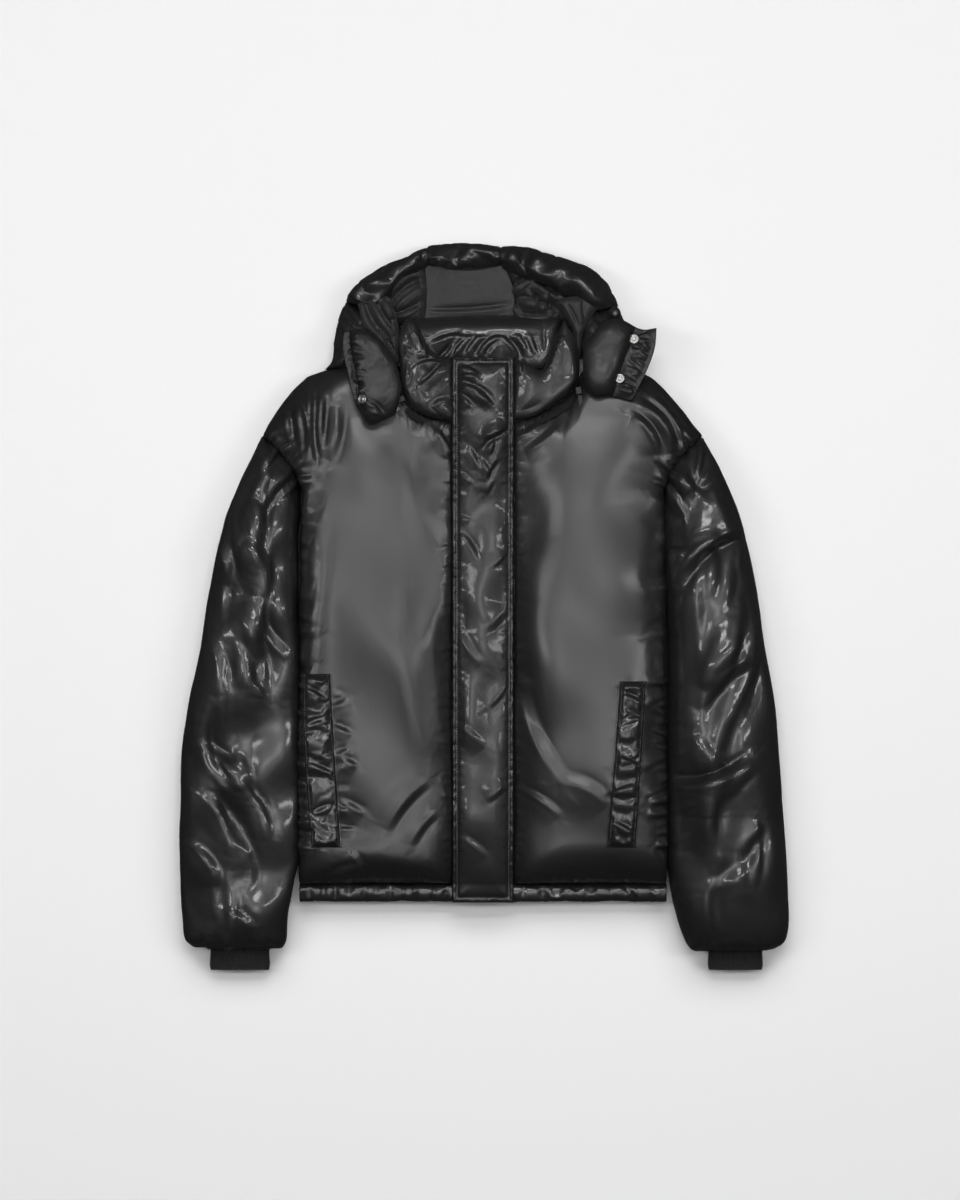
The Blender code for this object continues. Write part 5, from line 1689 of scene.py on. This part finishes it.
HOOD_PADS: Sequence[Pad] = (
    Pad(
        "hood_shell_cloth", "hood_shell",
        framed(
            run(-118, 330, -60, 306, 0, 302, 60, 306, 120, 330),
            run(-118, 400, -100, 421, -72, 442, 0, 443, 24, 442, 70, 424, 100, 405, 120, 391),
            run(-120, 370), run(122, 360),
        ),
        0.0, 0.017, 0.02, 40, 30, 0.0, Loft(frames=1),
    ),
    Pad(
        "hood_side_cloth_right", "hood_side_right",
        framed(
            run(-203, 308.5, -160, 308, -106, 318), run(-176.5, 396, -150, 390, -122, 386),
            run(-194, 320, -191, 342, -186, 371), run(-105, 355),
        ),
        0.030, 0.036, 0.030, 34, 30, -0.012, Loft(2.0, 0.07, 0.02, limit=0.010, crumple=0.6),
        folds(
            (-188, 370, -170, 340, 4, 4, 3.6), (-180, 385, -160, 360, -4, 4, 3.6),
        ),
    ),
    Pad(
        "hood_side_cloth_left", "hood_side_left",
        framed(
            run(123, 322, 160, 324, 198, 324), run(123, 383, 150, 388, 174.5, 389),
            run(120, 350), run(190, 348, 184, 366),
        ),
        0.030, 0.036, 0.030, 34, 30, -0.012, Loft(2.0, 0.05, 0.02, limit=0.010, crumple=0.5),
        (Fold((0.1300, 0.3780), (0.1500, 0.3450), 0.0040, 0.0050, 0.0040),),
    ),
    Pad(
        "hood_lining_pad_centre", "hood_lining_centre",
        framed(
            run(-76, 370, -20, 370, 40, 370), run(-76, 444, -20, 448, 26, 447),
            run(-72.5, 410), run(40, 410),
        ),
        0.0300, 0.0016, 0.004, 40, 34, 0.010, Loft(1.0, 0.02, 0.05, limit=0.004, crumple=0.15),
        folds(
            (-72, 383, 39, 390, -3, 3.4, 4.8, 0.9), (-56, 438, 22, 440, -4, 3, 2.4, 0.7),
        ),
        "lining",
    ),
    Pad(
        "hood_lining_pad_right", "hood_lining_right",
        framed(
            run(-128, 366, -100, 368, -76, 370), run(-134, 399, -108, 422, -76, 444),
            run(-133, 380), run(-72.5, 410),
        ),
        0.0280, 0.0080, 0.010, 40, 38, 0.012, SIDE_LOFT,
        folds(
            (-120, 390, -80, 426, 6, 4.4, -12, 0.7), (-114, 382, -77, 414, 5, 3.4, 10, 0.7),
            (-128, 402, -94, 433, 3, 3.6, 8, 0.7), (-118, 376, -80, 390, -3, 3.6, 7.6, 0.8),
        ),
        "lining",
    ),
    Pad(
        "hood_lining_pad_left", "hood_lining_left",
        framed(
            run(40, 370, 80, 366, 125, 362), run(26, 447, 70, 432, 125, 398),
            run(40, 410), run(129, 380),
        ),
        0.0280, 0.0080, 0.010, 48, 38, 0.012, SIDE_LOFT,
        folds(
            (30, 400, 70, 424, 4, 4.4, 10.9, 0.8), (38, 395, 93, 378, 6, 4.4, 10.2, 0.8),
            (44, 378, 87, 377, -3, 3.6, 9.3, 0.6), (61, 421, 96, 398, 0, 3.9, 10.2, 0.9),
            (99, 424, 122, 395, 0, 5.2, 9.3, 0.8), (32, 409, 47, 380, -3, 3.9, 8.7, 0.8),
            (56, 408, 66, 386, 3, 3.9, 7.8, 0.8), (80, 406, 74, 384, 3, 3.6, 7.8, 0.8),
        ),
        "lining",
    ),
    Pad(
        "hood_lining_turned_right", "",
        framed(
            run(-124, 318, -116, 313, -107.5, 316), run(-160, 390, -138, 402, -116, 398),
            run(-142, 348), run(-106, 350),
        ),
        0.0560, 0.0120, 0.012, 34, 50, 0.0, Loft(1.6, 0.06, 0.02, limit=0.006, crumple=0.35),
        folds(
            (-156, 392, -122, 340, -6, 4, 11, 0.9), (-142, 395, -112, 348, -3, 3.8, 11, 0.9),
            (-134, 360, -111, 320, -4, 3.6, 10, 0.9), (-128, 394, -111, 372, 0, 3.4, 8, 0.8),
        ),
        "lining",
    ),
    Pad(
        "hood_lining_turned_left", "",
        framed(
            run(119, 326, 121.5, 323, 124, 324), run(93, 392, 110, 399, 133, 398, 146, 386),
            run(115, 356, 104, 378), run(127, 352),
        ),
        0.0560, 0.0130, 0.012, 34, 44, 0.0, Loft(1.6, 0.03, 0.04, limit=0.004, crumple=0.20),
        folds(
            (101, 390, 120, 350, 3, 2.6, 4, 0.6), (124, 396, 128, 364, -3, 3.4, 3.6, 0.7),
        ),
        "lining",
    ),
    Pad(
        "hood_flap_pad_right", "hood_flap_right",
        framed(
            run(-161, 260, -144.5, 236, -128, 240, -111, 248), run(-176, 352, -160, 357, -142, 352),
            run(-170, 296, -177, 328), run(-104.5, 278, -112, 312, -124.5, 335),
        ),
        0.0815, 0.0260, 0.024, 42, 50, 0.0, CHIN_LOFT,
        (
            *folds(
                (-134, 344, -118, 306, -3, 6, 1.8), (-142, 250, -124, 246, 0, 3.4, 3),
                (-147, 260, -130, 248, 2, 3.4, 3.4, 0.7),
            ),
            *CHIN_SEAMS[Side.RIGHT].gathers(Side.RIGHT),
        ),
        "dull", strip=0.78, strip_first=True, held=run(-152, 266),
    ),
    Pad(
        "hood_flap_pad_left", "hood_flap_left",
        framed(
            run(129, 279, 143, 269, 165, 270, 188, 265), run(151, 367, 175, 368, 200, 356, 220, 357.5),
            run(127, 305, 131, 335), run(206, 300, 217, 330),
        ),
        0.0815, 0.0260, 0.024, 50, 50, 0.0, CHIN_LOFT,
        (
            *folds(
                (202, 337, 212, 330, 0, 2.2, 3, 0.8), (198, 326, 209, 320, 0, 2.2, 3, 0.8),
                (194, 315, 205, 309, 0, 2.2, 3, 0.8), (189, 306, 201, 298, 0, 2.2, 2.8, 0.8),
                (178, 288, 190, 272, 2, 2.4, 3, 0.8),
            ),
            *CHIN_SEAMS[Side.LEFT].gathers(Side.LEFT),
        ),
        "dull", strip=0.60, held=run(191, 343, 173, 293),
    ),
)


# ------------------------ stitches, metal


@dataclass
class Stitching:
    """Runs of thread on the finished pieces, one small rounded stitch after another."""

    maker: Maker
    length: float = 0.0027
    pitch: float = 0.0036
    thickness: float = 0.00034
    around: int = 6

    def make(self, name: str, piece: str, run: Run, offset: float = 0.0) -> None:
        """Sews one run.

        Args:
            name: the run's name.
            piece: the piece that it is sewn on.
            run: plan points that it passes through.
            offset: how far to its left the thread lies, in plan.
        """
        fine = through(run, 200)
        total = np.linalg.norm(np.diff(fine, axis=0), axis=1).sum()
        count = int(total / self.pitch)
        line = through(run, np.linspace(0, 1, 2 * count + 1))
        ahead = np.gradient(line, axis=0)
        ahead /= np.linalg.norm(ahead, axis=1, keepdims=True)
        line = line + offset * np.column_stack([-ahead[:, 1], ahead[:, 0]])
        heights = np.array([self.maker.height(piece, *spot) for spot in line])
        angle = turns(self.around)
        points, faces = [], []
        for k in range(1, len(line) - 1, 2):
            if min(heights[k - 1 : k + 2]) <= 0:
                continue
            centre = np.array((*line[k], heights[k] + 0.4 * self.thickness))
            slope = (heights[k + 1] - heights[k - 1]) / max(np.linalg.norm(line[k + 1] - line[k - 1]), 1e-6)
            way = np.array((*ahead[k], float(np.clip(slope, -1.5, 1.5))))
            way /= np.linalg.norm(way)
            side = np.array((-ahead[k][1], ahead[k][0], 0.0))
            up = np.cross(way, side)
            up = up if up[2] > 0 else -up
            base = len(points)
            for share, thick in ((-0.5, 0.35), (-0.36, 0.9), (0.0, 1.0), (0.36, 0.9), (0.5, 0.35)):
                dip = -0.9 * self.thickness * (2 * share) ** 2
                ring = (
                    centre + share * self.length * way + dip * up
                    + self.thickness * thick * (np.cos(angle)[:, None] * side + np.sin(angle)[:, None] * up)
                )
                points.extend(ring)
            for ring in range(4):
                for j in range(self.around):
                    a, b = base + ring * self.around + j, base + ring * self.around + (j + 1) % self.around
                    faces.append((a, b, b + self.around, a + self.around))
            faces.append(tuple(base + j for j in reversed(range(self.around))))
            faces.append(tuple(base + 4 * self.around + j for j in range(self.around)))
        if points:
            self.maker.piece(name, (np.array(points), faces), self.maker.finishes.thread, "shell_nylon")


def started(add: Callable[..., object], **settings: object) -> bpy.types.Object:
    """Adds a primitive by its operator, with nothing else selected, and puts its place into its mesh."""
    bpy.ops.object.select_all(action="DESELECT")
    add(**settings)
    bpy.ops.object.transform_apply(location=True, rotation=True, scale=True)
    return bpy.context.active_object


def only(thing: bpy.types.Object) -> None:
    """Selects one object and makes it active."""
    bpy.ops.object.select_all(action="DESELECT")
    thing.select_set(True)
    bpy.context.view_layer.objects.active = thing


def top_face(thing: bpy.types.Object) -> None:
    """Selects, in edit mode, only the face that looks up from the middle of the highest level."""
    bpy.ops.mesh.select_mode(type="FACE")
    bpy.ops.mesh.select_all(action="DESELECT")
    shape = bmesh.from_edit_mesh(thing.data)
    facing_up = [face for face in shape.faces if face.normal.z > 0.99]
    middle = min(facing_up, key=lambda face: face.calc_center_median().xy.length)
    middle.select = True
    shape.select_flush(True)
    bmesh.update_edit_mesh(thing.data)


@dataclass
class PressStuds:
    """Ring-faced press studs on the chin flaps' strips."""

    maker: Maker
    radius: float = 0.0058
    plate: float = 0.0007
    steps: Sequence[tuple[float, float]] = (
        (0.0003, 0.0006), (0.0013, 0.0), (0.0004, -0.0009),
        (0.0012, 0.0), (0.0002, 0.0009), (0.0007, 0.0003),
    )
    tilts: dict[str, float] = field(default_factory=lambda: {"snap_right": -0.45})

    def make(self) -> None:
        """Models one stud and sets a copy of it at each place."""
        master = self._model()
        for name in ("snap_left_upper", "snap_left_lower", "snap_right"):
            low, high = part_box(name)
            middle = Vector([(a + b) / 2 for a, b in zip(low, high)])
            tilt = self.tilts.get(name, 0.0)
            turned = Matrix.Rotation(tilt, 4, "Y") @ Matrix.Rotation(0.5, 4, "Z")
            place = Matrix.Translation((middle.x, middle.y, low[2] - 0.0004 + 0.0022 * abs(tilt))) @ turned
            mesh = master.data.copy()
            mesh.transform(place)
            stud = added(f"{name}_stud", mesh)
            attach(stud, "jacket")
            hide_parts(name)
            LOG.info("%s: %d faces", stud.name, len(mesh.polygons))
        bpy.data.objects.remove(master)

    def _model(self) -> bpy.types.Object:
        """A thin disc whose face is inset and raised step by step to a ring round a socket."""
        stud = started(
            bpy.ops.mesh.primitive_cylinder_add,
            vertices=40, radius=self.radius, depth=self.plate, location=(0, 0, self.plate / 2),
        )
        bpy.ops.object.mode_set(mode="EDIT")
        top_face(stud)
        for inset, rise in self.steps:
            bpy.ops.mesh.inset(thickness=inset, depth=0.0)
            bpy.ops.transform.translate(value=(0, 0, rise))
        bpy.ops.object.mode_set(mode="OBJECT")
        bevel = stud.modifiers.new("soft edges", "BEVEL")
        bevel.width = 0.00016
        bevel.segments = 2
        bevel.angle_limit = 0.5
        only(stud)
        bpy.ops.object.modifier_apply(modifier=bevel.name)
        bpy.ops.object.shade_smooth_by_angle(angle=0.7)
        stud.data.materials.append(self.maker.finishes.steel)
        return stud


class Hardware:
    """Finishes for the hard pieces that the frame already holds."""

    def __init__(self, finishes: Finishes) -> None:
        """Keeps the finishes."""
        self.finishes = finishes

    def dress(self) -> None:
        """Gives each kept node its finish."""
        for name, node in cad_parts.items():
            if "slider" in name or "pull_tab" in name:
                self._wear(node, self.finishes.painted)
            elif "zip" in name:
                self._wear(node, self.finishes.tape)

    @staticmethod
    def _wear(node: bpy.types.Object, material: bpy.types.Material) -> None:
        """Assigns a material to every slot of a node."""
        for slot in node.material_slots:
            slot.material = material


# ------------------------ studio


@dataclass
class Studio:
    """A pale floor, soft lights over it, and a camera straight above."""

    finishes: Finishes
    centre: tuple[float, float] = (-0.0038, 0.0128)
    camera_rise: float = 3.677

    def make(self) -> None:
        """Builds the floor, the lights and the camera."""
        self._make_floor()
        self._make_backdrop()
        self._light("window", (0.0, 24.0, 24.0), (26.7, 10.7), 5.55, False)
        for size, radiance in ((0.8, 5.2), (1.6, 2.0), (2.4, 1.1)):
            self._light(f"ceiling_{10 * size:.0f}", (0.0, 0.0, 3.9), (size, size), radiance)
        self._light("key", (0.0, 1.5, 3.3), (1.4, 0.3), 22.0)
        for word, x in (("right", -1.7), ("left", 1.7)):
            self._light(f"strip_{word}", (x, 0.3, 2.8), (0.2, 1.4), 20.0)
        world = bpy.data.worlds.new("studio")
        world.use_nodes = True
        world.node_tree.nodes["Background"].inputs[0].default_value = (1.0, 1.0, 1.0, 1.0)
        world.node_tree.nodes["Background"].inputs[1].default_value = 0.03
        bpy.context.scene.world = world
        bpy.context.scene.view_settings.view_transform = "Standard"
        camera = added("camera", bpy.data.cameras.new("camera"))
        camera.data.lens = 85.0
        camera.data.sensor_width = 36.0
        camera.data.clip_end = 120.0
        camera.location = (*self.centre, self.camera_rise)
        bpy.context.scene.camera = camera

    def _make_floor(self) -> None:
        """A wide sheet of paper just under the jacket."""
        floor = started(bpy.ops.mesh.primitive_plane_add, size=80.0, location=(0.0, 0.0, -0.0006))
        floor.name = "floor"
        floor.data.materials.append(StudioPaper().material())
        floor.visible_glossy = False

    def _make_backdrop(self) -> None:
        """A pale wall far round the floor, which only the camera sees."""
        wall = started(
            bpy.ops.mesh.primitive_cylinder_add,
            vertices=64, radius=36.0, depth=40.0, end_fill_type="NOTHING", location=(0.0, 0.0, 19.0),
        )
        wall.name = "backdrop"
        glow = Dye("studio_backdrop")
        glow.set(Base_Color=(0.0, 0.0, 0.0, 1.0), Roughness=1.0, Specular_IOR_Level=0.0)
        glow.set(Emission_Color=(0.80, 0.80, 0.80, 1.0), Emission_Strength=1.0)
        wall.data.materials.append(glow.material)
        wall.visible_diffuse = wall.visible_glossy = wall.visible_shadow = wall.visible_transmission = False

    @staticmethod
    def _light(
        name: str,
        place: Triple,
        size: tuple[float, float],
        radiance: float,
        mirrored: bool = True,
    ) -> None:
        """Adds a soft box that faces the middle of the floor.

        Args:
            name: the light's name.
            place: where it stands.
            size: its width and height.
            radiance: how bright its face is, in watts for each square metre and steradian.
            mirrored: whether glossy cloth shows it.
        """
        data = bpy.data.lights.new(name, "AREA")
        data.shape = "RECTANGLE"
        data.size, data.size_y = size
        data.energy = radiance * math.pi * size[0] * size[1]
        light = added(name, data)
        light.visible_glossy = mirrored
        light.location = place
        light.rotation_euler = (Vector((0, 0, 0)) - Vector(place)).to_track_quat("-Z", "Y").to_euler()


def gathered(seams: Iterable[Seam], side: Side) -> tuple[Fold, ...]:
    """Every seam's gathers on one side."""
    return tuple(fold for seam in seams for fold in seam.gathers(side))


def sew(maker: Maker) -> None:
    """Sews the runs of stitches that show."""
    thread = Stitching(maker)
    flap = StormFlap(maker)
    inner = flap.half_width - flap.piping - 0.0003
    ends = (flap.low_y + 0.006, flap.high_y - 0.006)
    for side in Side:
        x = side.value * inner
        thread.make(f"flap_stitches_{side.word}", "storm_flap", ((x, ends[0]), (x, 0.0), (x, ends[1])))
    thread.make("flap_stitches_top", "storm_flap", ((-inner, ends[1]), (0.0, ends[1]), (inner, ends[1])))
    welts = PocketWelts(maker).rows_by_side
    for side in Side:
        rows = welts[side]
        near = [(side.value * (row[0] + 0.0042), row[2]) for row in rows]
        far = [(side.value * (row[1] - 0.0042), row[2]) for row in rows]
        piece = f"pocket_welt_pad_{side.word}"
        thread.make(f"welt_stitches_near_{side.word}", piece, near)
        thread.make(f"welt_stitches_far_{side.word}", piece, far)


def main() -> None:
    """Builds the jacket and its studio in order, and reports each piece."""
    logging.basicConfig(level=logging.INFO, format="%(message)s")
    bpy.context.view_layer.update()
    finishes = Finishes()
    maker = Maker(finishes)
    body = Body(maker)
    body.make({side: (*FRONT_FOLDS[side], *gathered(FRONT_SEAMS, side)) for side in Side})
    StormFlap(maker).make()
    PocketWelts(maker).make()
    lesser = {side: [fold for drape in SLEEVE_DRAPES for fold in drape.folds(side)] for side in Side}
    Sleeves(maker, body).make({s: (*SLEEVE_FOLDS[s], *lesser[s], *gathered(SLEEVE_SEAMS, s)) for s in Side})
    Collar(maker).make()
    Hood(maker).make()
    sew(maker)
    PressStuds(maker).make()
    Hardware(finishes).dress()
    Studio(finishes).make()


if __name__ == "__main__":
    main()
